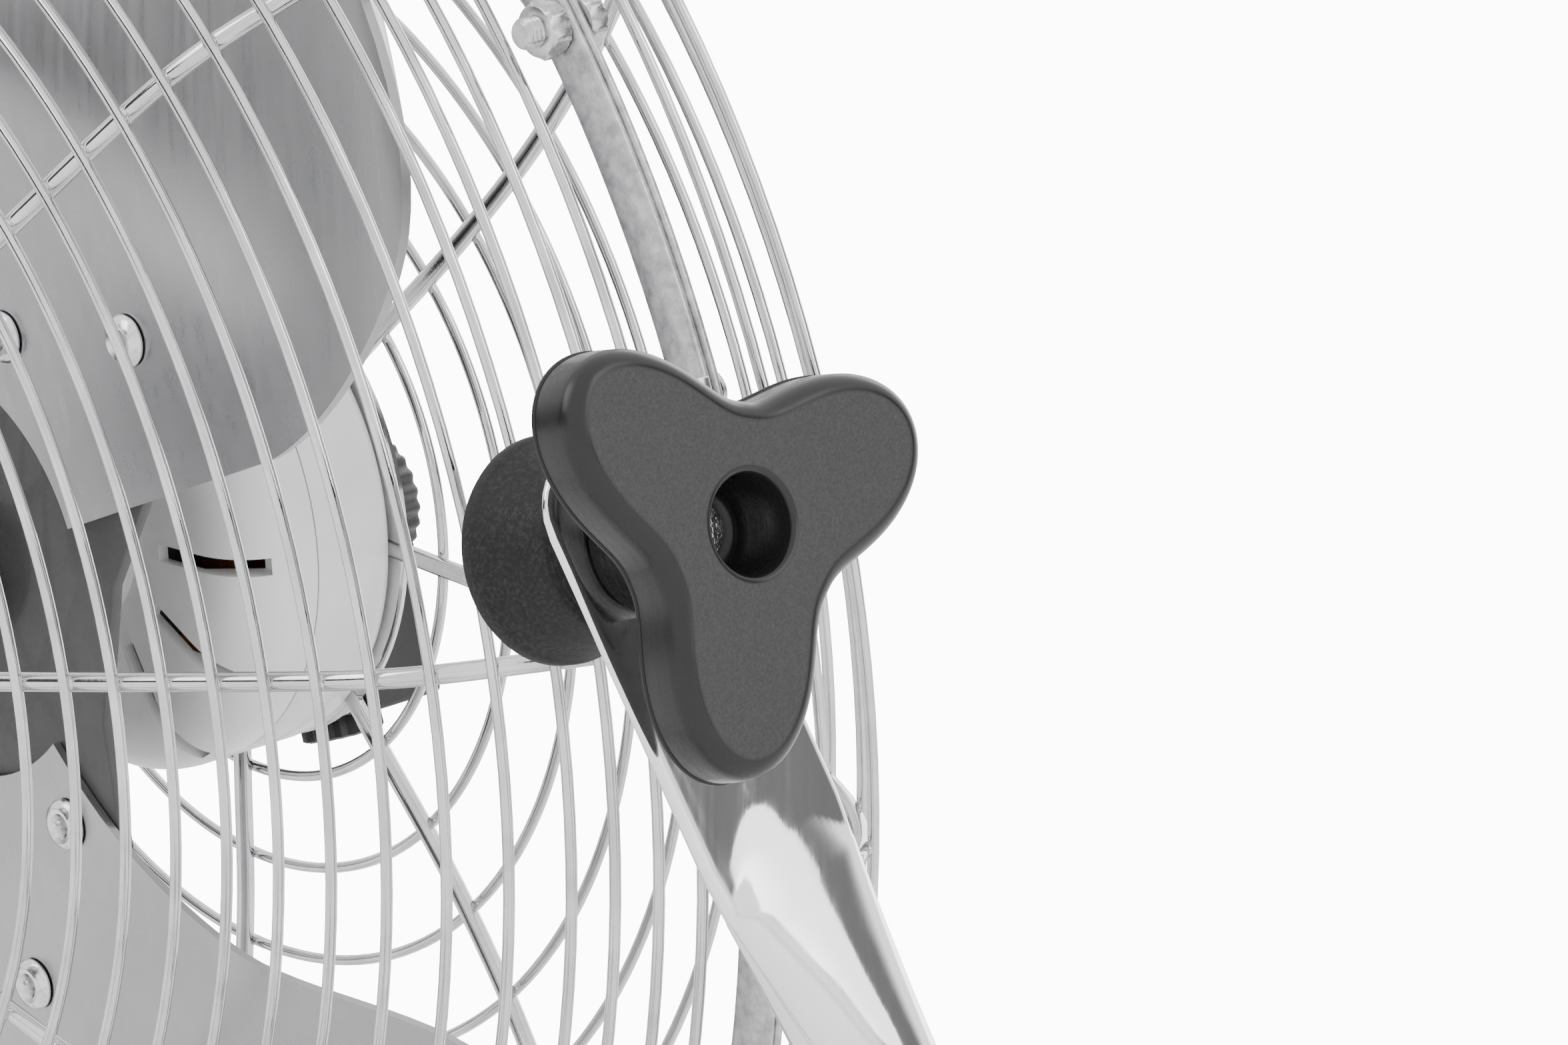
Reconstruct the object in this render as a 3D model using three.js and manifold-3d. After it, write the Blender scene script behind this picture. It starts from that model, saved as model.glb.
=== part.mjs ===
// Chrome-guarded fan on a bent tube stand. Millimetres, +Z up, the fan blows towards -Y, floor at Z = 0.
import * as THREE from "three";
import { mergeVertices } from "three/addons/utils/BufferGeometryUtils.js";
import Module from "manifold-3d";

const wasm = await Module();
wasm.setup();

// ---------- driving dimensions ----------
const AXIS_Z = 246; // height of the fan's axis above the floor, before the head is tilted
const PIVOT_Z = AXIS_Z - 6; // the tilt pivots sit a little below it
const PIVOT_Y = 23.5; // the pivots stand in front of the guard's joint
const CENTRE_Y = 4.384; // middle of the whole fan, front to back, which becomes Y = 0
const RIM_Y = 58.3; // middle of the front rim strip
const RIM_IN = 194; // inner radius of both rim strips
const RIM_OUT = 202; // outer radius of both rim strips
const STRIP_T = 1.5; // thickness of the rim strips
const RING_WIRE = 1.9; // diameter of the ring wires
const RIB_WIRE = 3.2; // diameter of the rib wires
const GAP = 0.3; // clearance between pieces that touch

const FRONT_RIBS = 10;
const FRONT_RIB_AT = 28; // angle of the first front rib, degrees from +X
const FRONT_RINGS = 20;
const FRONT_FACE_GAPS = 16; // these ring gaps are even, and the last ones before the rim are closer
const FRONT_FACE_SHARE = 0.884; // share of the profile's length that the even gaps take
const FRONT_PROFILE = [ // radius and Y of the front guard's rings, from the badge to the rim
  [38, -11], [66, -7], [94, 0], [113, 5.1], [131.5, 10.6], [142, 13.9], [151, 17], [158.8, 20.7],
  [165.6, 25.6], [171.6, 31.6], [178, 38.4], [183.4, 44.3], [188.2, 49.8], [190.8, 53.2],
];
const REAR_RIBS = 8;
const REAR_RIB_AT = 25;
const REAR_RINGS = 11;
const REAR_PROFILE = [ // the same for the rear guard, from the motor plate to the rim
  [52, 120.4], [80, 120.6], [110, 118], [140, 111.5], [165, 103.5], [184, 94], [194.5, 85], [198.5, 77.5], [199, 71],
];

const TUBE_D = 19; // stand tube
const FLAT_W = 29; // width of the tube where it is pressed flat
const FLAT_T = 2.4; // thickness of the flat
const LEG_X = 220; // middle plane of the flat at each pivot
const RUNNER_X = 220; // runners lie under the legs, outside the guard
const LEG_SLANT = 31; // degrees back from upright
const HEAD_TILT = 17; // at rest the head looks down by this many degrees
const BEND_R = 36; // bend radius of the stand tube
const FRONT_BAR_Y = -132;

const STUD_D = 8;
const KNOB_R = 36.5; // centre to lobe tip
const KNOB_VALLEY_R = 18;
const KNOB_HOLE_D = 14.8;
const KNOB_PLATE = 10.2; // thickness of the lobed part
const KNOB_BOSS = 14.3; // boss behind it
const KNOB_BOSS_D = 22;
const KNOB_LOBE_AT = [133, 13, -107]; // degrees from +Y towards +Z
const CONE_D = 34;
const CONE_SMALL_D = 21;
const CONE_L = 19;

const BLADE_R = 175; // blade tip radius
const SPIDER_Y = 59; // middle plane of the hub spider
const ARM_AT = [33, 153, 273];
const ARM_R = 85; // centre to the end of an arm
const MOTOR_D = 88;

// ---------- materials ----------
const look = (color, roughness, metalness) => ({ color, roughness, metalness });
const CHROME = look(0xd8dadc, 0.15, 1);
const ZINC = look(0xb8babc, 0.35, 1);
const ALU = look(0xc6c8ca, 0.35, 1);
const STEEL = look(0x8d9094, 0.4, 1);
const DARK_PAINT = look(0x4a4c4f, 0.5, 0.2);
const BLACK = look(0x202122, 0.5, 0);
const RUBBER = look(0x171717, 0.85, 0);
const SILVER_PAINT = look(0xd4d6d8, 0.4, 0.3);
const COPPER = look(0xb56b3a, 0.4, 1);
const WHITE_PLASTIC = look(0xd9d9d4, 0.5, 0);

// The head is built upright and level, then tilted about its pivots.
const head = new THREE.Group();
head.name = "head";
const stand = new THREE.Group();
stand.name = "stand";
const group = new THREE.Group();
group.name = "fan";
group.add(stand, head);

// ---------- solid helpers ----------
// A three.js geometry as a solid that can be joined or cut.
function solid(geometry) {
  const g = geometry.index ? geometry.toNonIndexed() : geometry.clone();
  g.deleteAttribute("normal");
  g.deleteAttribute("uv");
  const merged = mergeVertices(g, 1e-4);
  const made = new wasm.Manifold(
    new wasm.Mesh({
      numProp: 3,
      vertProperties: merged.attributes.position.array,
      triVerts: new Uint32Array(merged.index.array),
    }),
  );
  if (made.volume() > 0) return made;
  const index = Array.from(merged.index.array);
  for (let i = 0; i < index.length; i += 3) [index[i + 1], index[i + 2]] = [index[i + 2], index[i + 1]];
  return new wasm.Manifold(
    new wasm.Mesh({
      numProp: 3,
      vertProperties: merged.attributes.position.array,
      triVerts: new Uint32Array(index),
    }),
  );
}

// Adds a solid to the head or the stand as a named mesh.
function piece(name, body, material, parent = head) {
  const { vertProperties, triVerts } = body.getMesh();
  const g = new THREE.BufferGeometry();
  g.setAttribute("position", new THREE.BufferAttribute(new Float32Array(vertProperties), 3));
  g.setIndex(new THREE.BufferAttribute(new Uint32Array(triVerts), 1));
  const mesh = new THREE.Mesh(g, new THREE.MeshStandardMaterial(material));
  mesh.name = name;
  mesh.geometry.computeVertexNormals();
  parent.add(mesh);
  return body;
}

// A closed body through a row of outlines, each with the same number of points.
function loft(outlines) {
  const n = outlines[0].length;
  const points = outlines.flat();
  const index = [];
  for (let i = 0; i + 1 < outlines.length; i += 1) {
    for (let j = 0; j < n; j += 1) {
      const a = i * n + j;
      const b = i * n + ((j + 1) % n);
      index.push(a, b, b + n, a, b + n, a + n);
    }
  }
  const last = (outlines.length - 1) * n;
  const flat = (outline) => outline.reduce((sum, p) => sum.add(p), new THREE.Vector3()).divideScalar(n);
  points.push(flat(outlines[0]), flat(outlines.at(-1)));
  for (let j = 0; j < n; j += 1) {
    index.push(points.length - 2, (j + 1) % n, j);
    index.push(points.length - 1, last + j, last + ((j + 1) % n));
  }
  const g = new THREE.BufferGeometry().setFromPoints(points);
  g.setIndex(index);
  return solid(g);
}

// A bar along a row of points, its section given by sides, width and height, with a fixed side direction.
function bar(points, side, width, height, sides, turn = 0) {
  return loft(
    points.map((p, i) => {
      const ahead = points[Math.min(i + 1, points.length - 1)];
      const behind = points[Math.max(i - 1, 0)];
      const along = ahead.clone().sub(behind).normalize();
      const up = new THREE.Vector3().crossVectors(along, side).normalize();
      const across = new THREE.Vector3().crossVectors(up, along).normalize();
      return Array.from({ length: sides }, (_, k) => {
        const a = ((k + turn) / sides) * Math.PI * 2;
        return p
          .clone()
          .addScaledVector(across, (Math.cos(a) * width) / 2)
          .addScaledVector(up, (Math.sin(a) * height) / 2);
      });
    }),
  );
}

// A body of revolution about the fan's axis: radius and Y pairs, starting and ending on the axis or closed.
function turned(profile, segments, closed = false) {
  const row = profile.map(([r, y]) => new THREE.Vector2(r, y));
  if (closed) row.push(row[0].clone());
  const g = new THREE.LatheGeometry(row, segments);
  return solid(g).translate([0, 0, AXIS_Z]);
}

// The same about a line parallel to X through (y, z); the profile's second number is X.
function turnedX(profile, segments, y, z, closed = false) {
  const row = profile.map(([r, x]) => new THREE.Vector2(r, x));
  if (closed) row.push(row[0].clone());
  return solid(new THREE.LatheGeometry(row, segments)).rotate([0, 0, -90]).translate([0, y, z]);
}

// A round bar parallel to Y, from y0 to y1.
function pin(d, y0, y1, x, z, segments = 16) {
  const g = new THREE.CylinderGeometry(d / 2, d / 2, y1 - y0, segments);
  g.translate(x, (y0 + y1) / 2, z);
  return solid(g);
}

function block(x0, y0, z0, x1, y1, z1) {
  const g = new THREE.BoxGeometry(x1 - x0, y1 - y0, z1 - z0);
  g.translate((x0 + x1) / 2, (y0 + y1) / 2, (z0 + z1) / 2);
  return solid(g);
}

const rad = THREE.MathUtils.degToRad;
const join = (bodies) => bodies.reduce((all, body) => all.add(body));
const mirrored = (body) => body.mirror([1, 0, 0]);

// ---------- guards ----------
const MITRE_RIB = RIB_WIRE * 1.12; // a four-sided bar with about the wire's area

function profileCurve(profile) {
  return new THREE.CatmullRomCurve3(
    profile.map(([r, y]) => new THREE.Vector3(r, y, 0)),
    false,
    "centripetal",
  );
}

// A welded wire guard: rings outside, ribs inside, a flat rim strip. outward is -1 in front and +1 behind.
// faceGaps ring gaps share the first part of the profile, faceShare of its length.
function guard(profile, ringCount, ribCount, ribAt, outward, stripY, segments, innerEnd, faceGaps, faceShare) {
  const curve = profileCurve(profile);
  const wires = [];
  const ringGaps = ringCount - 1;
  const station = (i) =>
    THREE.MathUtils.clamp(
      i < faceGaps
        ? (i / faceGaps) * faceShare
        : faceShare + ((i - faceGaps) / (ringGaps - faceGaps)) * (1 - faceShare),
      0,
      1,
    );
  for (let i = 0; i < ringCount; i += 1) {
    const at = curve.getPointAt(station(i));
    // a three-sided wire with one edge towards the rib below it
    const edges = [0, 1, 2].map((k) => {
      const a = (k / 3) * Math.PI * 2 + (outward < 0 ? Math.PI * 0.75 : Math.PI * 1.25);
      return [at.x + Math.cos(a) * RING_WIRE * 0.68, at.y + Math.sin(a) * RING_WIRE * 0.68];
    });
    const ring = new THREE.LatheGeometry([...edges, edges[0]].map((e) => new THREE.Vector2(...e)), segments);
    // each rib crosses a ring in the middle of one of its straight steps
    const turn = 90 - ribAt + 180 / segments;
    const wide = 1 / Math.sqrt(Math.cos(Math.PI / segments));
    wires.push(solid(ring).scale([wide, 1, wide]).rotate([0, turn, 0]).translate([0, 0, AXIS_Z]));
  }
  const lift = (RING_WIRE + RIB_WIRE) / 2 - 0.7; // ribs lie under the rings and are welded to them
  const inside = [];
  for (let i = 0; i <= ringCount; i += 1) {
    // the rib bends halfway between two rings
    const u = station(i - 0.5);
    const at = curve.getPointAt(u);
    const along = curve.getTangentAt(u);
    const normal = new THREE.Vector2(-along.y, along.x).multiplyScalar(outward < 0 ? 1 : -1);
    inside.push([at.x + normal.x * lift, at.y + normal.y * lift]);
  }
  inside.unshift([inside[0][0] - innerEnd, inside[0][1]]);
  // front ribs lie down on their strip, rear ribs stand on theirs
  const ribTurn = outward < 0 ? stripY - STRIP_T / 2 - MITRE_RIB * 0.354 + 0.9 : stripY;
  inside.push([RIM_IN + 5.5, ribTurn]);
  for (let k = 0; k < ribCount; k += 1) {
    const a = rad(ribAt + (360 / ribCount) * k);
    const row = inside.map(([r, y]) => new THREE.Vector3(r * Math.cos(a), y, AXIS_Z + r * Math.sin(a)));
    const side = new THREE.Vector3(-Math.sin(a), 0, Math.cos(a));
    wires.push(bar(row, side, MITRE_RIB, MITRE_RIB, 4, 0.5));
  }
  const t = STRIP_T / 2;
  wires.push(
    turned(
      [[RIM_IN, stripY - t], [RIM_OUT, stripY - t], [RIM_OUT, stripY + t], [RIM_IN, stripY + t]],
      48,
      true,
    ),
  );
  return join(wires).simplify(0.1);
}

const REAR_RIM_Y = RIM_Y + STRIP_T + GAP;
const BADGE_Y = -11;
let frontGuard = guard(FRONT_PROFILE, FRONT_RINGS, FRONT_RIBS, FRONT_RIB_AT, -1, RIM_Y, 20, 4, FRONT_FACE_GAPS, FRONT_FACE_SHARE);
let rearGuard = guard(REAR_PROFILE, REAR_RINGS, REAR_RIBS, REAR_RIB_AT, 1, REAR_RIM_Y, 24, 12, 5, 0.5);

// The rear ribs end on a pressed plate that carries the motor.
const PLATE_Y = 118;
const plate = turned([[0, PLATE_Y], [44, PLATE_Y], [44, PLATE_Y + 2], [0, PLATE_Y + 2]], 24);
rearGuard = rearGuard.add(plate);
for (const a of [45, 135, 225, 315]) {
  const x = 19 * Math.cos(rad(a));
  const z = AXIS_Z + 19 * Math.sin(rad(a));
  rearGuard = rearGuard.subtract(pin(4.6, PLATE_Y - 3, PLATE_Y + 5, x, z, 10));
}

// Bolts through both rim strips, nuts in front.
const BOLT_D = 5;
const BOLT_R = (RIM_IN + RIM_OUT) / 2 + 0.6;
const BOLT_AT = [20, 145, 200, 325];
const BOLT_HOLE_D = BOLT_D + 2 * GAP;
const NUT_T = 4;
const NUT_AF = 8;
const RIVET_D = 4;
BOLT_AT.forEach((deg, i) => {
  const x = BOLT_R * Math.cos(rad(deg));
  const z = AXIS_Z + BOLT_R * Math.sin(rad(deg));
  const hole = pin(BOLT_HOLE_D, RIM_Y - 2, REAR_RIM_Y + 2, x, z, 10);
  frontGuard = frontGuard.subtract(hole);
  rearGuard = rearGuard.subtract(hole);
  const back = REAR_RIM_Y + STRIP_T / 2 + GAP;
  const front = RIM_Y - STRIP_T / 2 - GAP;
  const head = solid(new THREE.CylinderGeometry(4.6, 4.6, 3.4, 6).rotateY(rad(deg))).translate([x, back + 1.7, z]);
  const tip = front - NUT_T - 2.4;
  const bolt = pin(BOLT_D, tip, back + 1, x, z, 10).add(pin(BOLT_D - 1.2, tip - 0.8, tip + 1, x, z, 10));
  piece(`guard_bolt_${i + 1}`, bolt.add(head), ZINC);
  const nut = solid(new THREE.CylinderGeometry(NUT_AF / 1.732, NUT_AF / 1.732, NUT_T, 6)).translate([
    x, front - NUT_T / 2, z,
  ]);
  piece(`guard_nut_${i + 1}`, nut.subtract(pin(BOLT_D + 2 * GAP, tip - 2, front + 2, x, z, 10)), ZINC);
});

// A plain pressed badge in the middle of the front guard.
piece(
  "front_badge",
  turned([[0, -16.5], [24, -16], [33, -14], [35.6, -12], [34.2, -10.95], [0, -10.95]], 20),
  CHROME,
);
const badgeRing = turned([[30, -9.2], [37, -9.2], [37, -7.2], [30, -7.2]], 40, true);
frontGuard = frontGuard.add(badgeRing);

// ---------- tilt brackets, studs, rubber cones, knobs ----------
const TAB_X = LEG_X - FLAT_T / 2 - GAP - CONE_L - GAP - 1.25; // middle of the upright tab
const TAB_T = 2.5;
const TAB_R = 13;
const FOOT_Y = RIM_Y - STRIP_T / 2 - GAP;
const tabOutline = new THREE.Shape();
tabOutline.moveTo(FOOT_Y, -TAB_R);
tabOutline.lineTo(FOOT_Y, TAB_R);
tabOutline.lineTo(PIVOT_Y, TAB_R);
tabOutline.absarc(PIVOT_Y, 0, TAB_R, Math.PI / 2, Math.PI * 1.5, false);
const studHole = new THREE.Path();
studHole.absarc(PIVOT_Y, 0, STUD_D / 2 + GAP, 0, Math.PI * 2, true);
tabOutline.holes.push(studHole);
const tab = solid(new THREE.ExtrudeGeometry(tabOutline, { depth: TAB_T, bevelEnabled: false, curveSegments: 8 }));
// The outline's x becomes Y, its y becomes Z and its depth becomes X.
const tabUpright = tab.transform([0, 1, 0, 0, 0, 0, 1, 0, 1, 0, 0, 0, TAB_X - TAB_T / 2, 0, PIVOT_Z, 1]);
const FOOT_H = 18.8; // the foot reaches past the tab, up and down
const FOOT_OUT = 203.6;
const footPlate = block(RIM_IN + 1.2, FOOT_Y - TAB_T, PIVOT_Z - FOOT_H, FOOT_OUT, FOOT_Y, PIVOT_Z + FOOT_H);
let bracket = tabUpright.add(footPlate);
const RIVET_Z = 16; // the rivets sit above and below the tab
const RIVET_X = 198;
const bracketRivets = [1, -1].map((up) => {
  const z = PIVOT_Z + up * RIVET_Z;
  const hole = pin(RIVET_D + 2 * GAP, FOOT_Y - 8, REAR_RIM_Y + 2, RIVET_X, z, 10);
  bracket = bracket.subtract(hole);
  for (const flip of [(b) => b, mirrored]) {
    frontGuard = frontGuard.subtract(flip(hole));
    rearGuard = rearGuard.subtract(flip(hole));
  }
  const head = FOOT_Y - TAB_T - GAP;
  const tail = REAR_RIM_Y + STRIP_T / 2 + GAP;
  return pin(RIVET_D, head - 1, tail + 1, RIVET_X, z, 10)
    .add(pin(5.6, head - 1.5, head, RIVET_X, z, 10))
    .add(pin(6.6, tail, tail + 1.3, RIVET_X, z, 10));
});

const FACE_X = LEG_X + FLAT_T / 2 + GAP + KNOB_BOSS + KNOB_PLATE; // outer face of the knob
const stud = turnedX(
  [
    [0, TAB_X - TAB_T / 2 - GAP - 3.5],
    [6.2, TAB_X - TAB_T / 2 - GAP - 3.5],
    [6.2, TAB_X - TAB_T / 2 - GAP],
    [STUD_D / 2, TAB_X - TAB_T / 2 - GAP],
    [STUD_D / 2, FACE_X - 12],
    [STUD_D / 2 - 0.8, FACE_X - 11],
    [0, FACE_X - 11],
  ],
  16,
  PIVOT_Y,
  PIVOT_Z,
);

const CONE_X = TAB_X + TAB_T / 2 + GAP; // big end of the rubber cone
const cone = turnedX(
  [
    [STUD_D / 2 + GAP, CONE_X],
    [CONE_D / 2, CONE_X],
    [CONE_D / 2, CONE_X + 3.4],
    [CONE_SMALL_D / 2 + 2, CONE_X + CONE_L - 3],
    [CONE_SMALL_D / 2, CONE_X + CONE_L],
    [STUD_D / 2 + GAP, CONE_X + CONE_L],
  ],
  16,
  PIVOT_Y,
  PIVOT_Z,
  true,
);

// The knob's outline: three lobes with round ends, joined by hollow sides.
function lobed(scale, count = 30) {
  return Array.from({ length: count }, (_, i) => {
    const a = (i / count) * Math.PI * 2;
    const lobe = (1 + Math.cos(3 * (a - rad(KNOB_LOBE_AT[1])))) / 2;
    const r = (KNOB_VALLEY_R + (KNOB_R - KNOB_VALLEY_R) * lobe ** 1.25) * scale - (1 - scale) * 2;
    return new THREE.Vector2(r * Math.cos(a), r * Math.sin(a));
  });
}
const PLATE_X = FACE_X - KNOB_PLATE;
const knobRows = [
  [PLATE_X, 0.95], [PLATE_X + 1.2, 1], [FACE_X - 3.6, 1], [FACE_X - 1, 0.95], [FACE_X, 0.87],
].map(([x, scale]) => lobed(scale).map((p) => new THREE.Vector3(x, PIVOT_Y + p.x, PIVOT_Z + p.y)));
const boss = turnedX(
  [
    [0, PLATE_X - KNOB_BOSS],
    [KNOB_BOSS_D / 2 - 1, PLATE_X - KNOB_BOSS],
    [KNOB_BOSS_D / 2, PLATE_X - KNOB_BOSS + 1],
    [KNOB_BOSS_D / 2 + 1, PLATE_X + 1],
    [0, PLATE_X + 1],
  ],
  20,
  PIVOT_Y,
  PIVOT_Z,
);
const bore = turnedX(
  [
    [0, PLATE_X - KNOB_BOSS - 5],
    [STUD_D / 2 + GAP, PLATE_X - KNOB_BOSS - 5],
    [STUD_D / 2 + GAP, FACE_X - 13.5],
    [KNOB_HOLE_D / 2, FACE_X - 13],
    [KNOB_HOLE_D / 2, FACE_X - 1.5],
    [KNOB_HOLE_D / 2 + 1.6, FACE_X + 0.1],
    [KNOB_HOLE_D / 2 + 1.6, FACE_X + 5],
    [0, FACE_X + 5],
  ],
  24,
  PIVOT_Y,
  PIVOT_Z,
);
const knob = loft(knobRows).add(boss).subtract(bore);

for (const [end, flip] of [["right", (b) => b], ["left", mirrored]]) {
  piece(`tilt_bracket_${end}`, flip(bracket), ZINC);
  piece(`bracket_rivet_${end}_upper`, flip(bracketRivets[0]), ZINC);
  piece(`bracket_rivet_${end}_lower`, flip(bracketRivets[1]), ZINC);
  piece(`tilt_stud_${end}`, flip(stud), ZINC);
  piece(`rubber_cone_${end}`, flip(cone), RUBBER);
  piece(`tilt_knob_${end}`, flip(knob), BLACK);
}

// ---------- stand ----------
// One tube: flat at both pivots, down and back to the floor, forward as runners, across the front.
const FLOOR_GAP = 6; // the rubber feet hold the tube off the floor
const tubeZ = FLOOR_GAP + TUBE_D / 2;
const slant = new THREE.Vector3(0, Math.sin(rad(LEG_SLANT)), -Math.cos(rad(LEG_SLANT)));
const pivot = new THREE.Vector3(LEG_X, PIVOT_Y, PIVOT_Z);
const legRun = (PIVOT_Z - tubeZ) / Math.cos(rad(LEG_SLANT));
const heel = pivot.clone().addScaledVector(slant, legRun).setX(RUNNER_X);
const toe = new THREE.Vector3(RUNNER_X, FRONT_BAR_Y, tubeZ);

// Rounds a corner between two straight runs.
function corner(from, at, to, radius, steps) {
  const a = from.clone().sub(at).normalize();
  const b = to.clone().sub(at).normalize();
  const half = a.angleTo(b) / 2;
  const back = radius / Math.tan(half);
  const centre = a.clone().add(b).normalize().multiplyScalar(radius / Math.sin(half)).add(at);
  const p0 = at.clone().addScaledVector(a, back).sub(centre);
  const p1 = at.clone().addScaledVector(b, back).sub(centre);
  const turn = new THREE.Vector3().crossVectors(p0, p1).normalize();
  const angle = p0.angleTo(p1);
  return Array.from({ length: steps + 1 }, (_, i) =>
    p0.clone().applyAxisAngle(turn, (angle * i) / steps).add(centre),
  );
}
const END_PAST = 16; // the flat runs past the pivot
const topEnd = pivot.clone().addScaledVector(slant, -END_PAST);
// distance from the end, width, thickness: flat, then a spade that opens into the round tube
const SPADE = [
  [0, 16, FLAT_T], [3, 23, FLAT_T], [9, FLAT_W, FLAT_T], [59, FLAT_W, FLAT_T], [65, FLAT_W, 4.2],
  [73, 27.4, 7.6], [85, 24.4, 12], [99, 21.2, 16.4], [113, TUBE_D, TUBE_D],
];
const legDown = SPADE.map(([s]) => {
  const p = topEnd.clone().addScaledVector(slant, s);
  return p;
});
const heelBend = corner(legDown.at(-1), heel, toe, BEND_R, 5);
const toeBend = corner(heelBend.at(-1), toe, new THREE.Vector3(0, FRONT_BAR_Y, tubeZ), BEND_R, 5);
const half = [...legDown, ...heelBend, ...toeBend];
const path = [...half, ...half.map((p) => p.clone().setX(-p.x)).reverse()];
const sizes = [
  ...SPADE.map(([, w, t]) => [w, t]),
  ...[...heelBend, ...toeBend].map(() => [TUBE_D, TUBE_D]),
];
const allSizes = [...sizes, ...[...sizes].reverse()];
let across = new THREE.Vector3(0, Math.cos(rad(LEG_SLANT)), Math.sin(rad(LEG_SLANT)));
const SIDES = 10;
let tube = loft(
  path.map((p, i) => {
    const along = path[Math.min(i + 1, path.length - 1)].clone().sub(path[Math.max(i - 1, 0)]).normalize();
    if (i < SPADE.length || i >= path.length - SPADE.length) along.setX(0).normalize();
    across = across.clone().addScaledVector(along, -across.dot(along)).normalize();
    const out = new THREE.Vector3().crossVectors(along, across);
    const [w, t] = allSizes[i];
    return Array.from({ length: SIDES }, (_, k) => {
      const a = (k / SIDES) * Math.PI * 2;
      // a flat section keeps full thickness almost to its edges
      const square = 1 - THREE.MathUtils.clamp((t - FLAT_T) / (TUBE_D - FLAT_T), 0, 1);
      const c = Math.cos(a);
      const s = Math.sin(a);
      const y = THREE.MathUtils.lerp(s, Math.sign(s) * Math.abs(s) ** 0.15, square);
      return p.clone().addScaledVector(across, (c * w) / 2).addScaledVector(out, (y * t) / 2);
    });
  }),
);
const legHole = turnedX(
  [[0, LEG_X - 8], [STUD_D / 2 + GAP, LEG_X - 8], [STUD_D / 2 + GAP, LEG_X + 8], [0, LEG_X + 8]],
  16,
  PIVOT_Y,
  PIVOT_Z,
);
tube = tube.subtract(legHole).subtract(mirrored(legHole));
piece("stand_tube", tube, CHROME, stand);

// Rubber feet: a saddle under the tube with a flat sole.
function foot(y) {
  const w = TUBE_D / 2 + 4;
  const saddle = block(RUNNER_X - w, y - 14, 0, RUNNER_X + w, y + 14, tubeZ + 2);
  const bed = solid(new THREE.CylinderGeometry(TUBE_D / 2 + GAP, TUBE_D / 2 + GAP, 40, 20)).translate([
    RUNNER_X, y, tubeZ,
  ]);
  return saddle.subtract(bed);
}
const FOOT_FRONT_Y = FRONT_BAR_Y + BEND_R + 20;
const FOOT_REAR_Y = heelBend.at(-1).y - 15;
for (const [end, flip] of [["right", (b) => b], ["left", mirrored]]) {
  piece(`foot_front_${end}`, flip(foot(FOOT_FRONT_Y)), RUBBER, stand);
  piece(`foot_rear_${end}`, flip(foot(FOOT_REAR_Y)), RUBBER, stand);
}

// ---------- motor ----------
const SHELL_FRONT_Y = 84;
const SHELL_SPLIT_Y = 100;
const MR = MOTOR_D / 2;
const BACK_Y = PLATE_Y - GAP;
const WALL = 2;
const BEARING_D = 22;
const SHAFT_D = 8;
// Front bell, with a bearing seat in its middle.
let frontShell = turned(
  [
    [BEARING_D / 2 + GAP, SHELL_FRONT_Y - 6],
    [BEARING_D / 2 + 3, SHELL_FRONT_Y - 6],
    [BEARING_D / 2 + 4, SHELL_FRONT_Y],
    [MR - 12, SHELL_FRONT_Y],
    [MR, SHELL_FRONT_Y + 10],
    [MR, SHELL_SPLIT_Y - GAP / 2],
    [MR - WALL, SHELL_SPLIT_Y - GAP / 2],
    [MR - WALL, SHELL_FRONT_Y + 11],
    [MR - 13, SHELL_FRONT_Y + WALL],
    [BEARING_D / 2 + GAP, SHELL_FRONT_Y + WALL],
  ],
  20,
  true,
);
let rearShell = turned(
  [
    [MR, SHELL_SPLIT_Y + GAP / 2],
    [MR, BACK_Y - 5],
    [MR - 5, BACK_Y],
    [BEARING_D / 2 + GAP, BACK_Y],
    [BEARING_D / 2 + GAP, BACK_Y - 8],
    [BEARING_D / 2 + 3, BACK_Y - 8],
    [BEARING_D / 2 + 4, BACK_Y - WALL],
    [MR - 6, BACK_Y - WALL],
    [MR - WALL, BACK_Y - 6],
    [MR - WALL, SHELL_SPLIT_Y + GAP / 2],
  ],
  20,
  true,
);
// Cooling slots round both bells, between the screw posts.
for (let k = 0; k < 6; k += 1) {
  const slot = block(18, SHELL_FRONT_Y - 3, -2, MR - 14, SHELL_FRONT_Y + 8, 2).rotate([0, 30 + 60 * k, 0]);
  frontShell = frontShell.subtract(slot.translate([0, 0, AXIS_Z]));
}
const SCREW_R = 19;
const SCREW_D = 4;
const SCREWS = [45, 135, 225, 315];
for (const deg of SCREWS) {
  const x = SCREW_R * Math.cos(rad(deg));
  const z = AXIS_Z + SCREW_R * Math.sin(rad(deg));
  rearShell = rearShell.subtract(pin(SCREW_D + 2 * GAP, BACK_Y - 6, BACK_Y + 4, x, z, 10));
  const back = PLATE_Y + 2 + GAP;
  const screw = pin(SCREW_D, BACK_Y - 7, back + 1, x, z, 10).add(pin(8, back, back + 2.6, x, z, 10));
  piece(`motor_screw_${SCREWS.indexOf(deg) + 1}`, screw, ZINC);
}
piece("motor_front_shell", frontShell, SILVER_PAINT);

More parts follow.
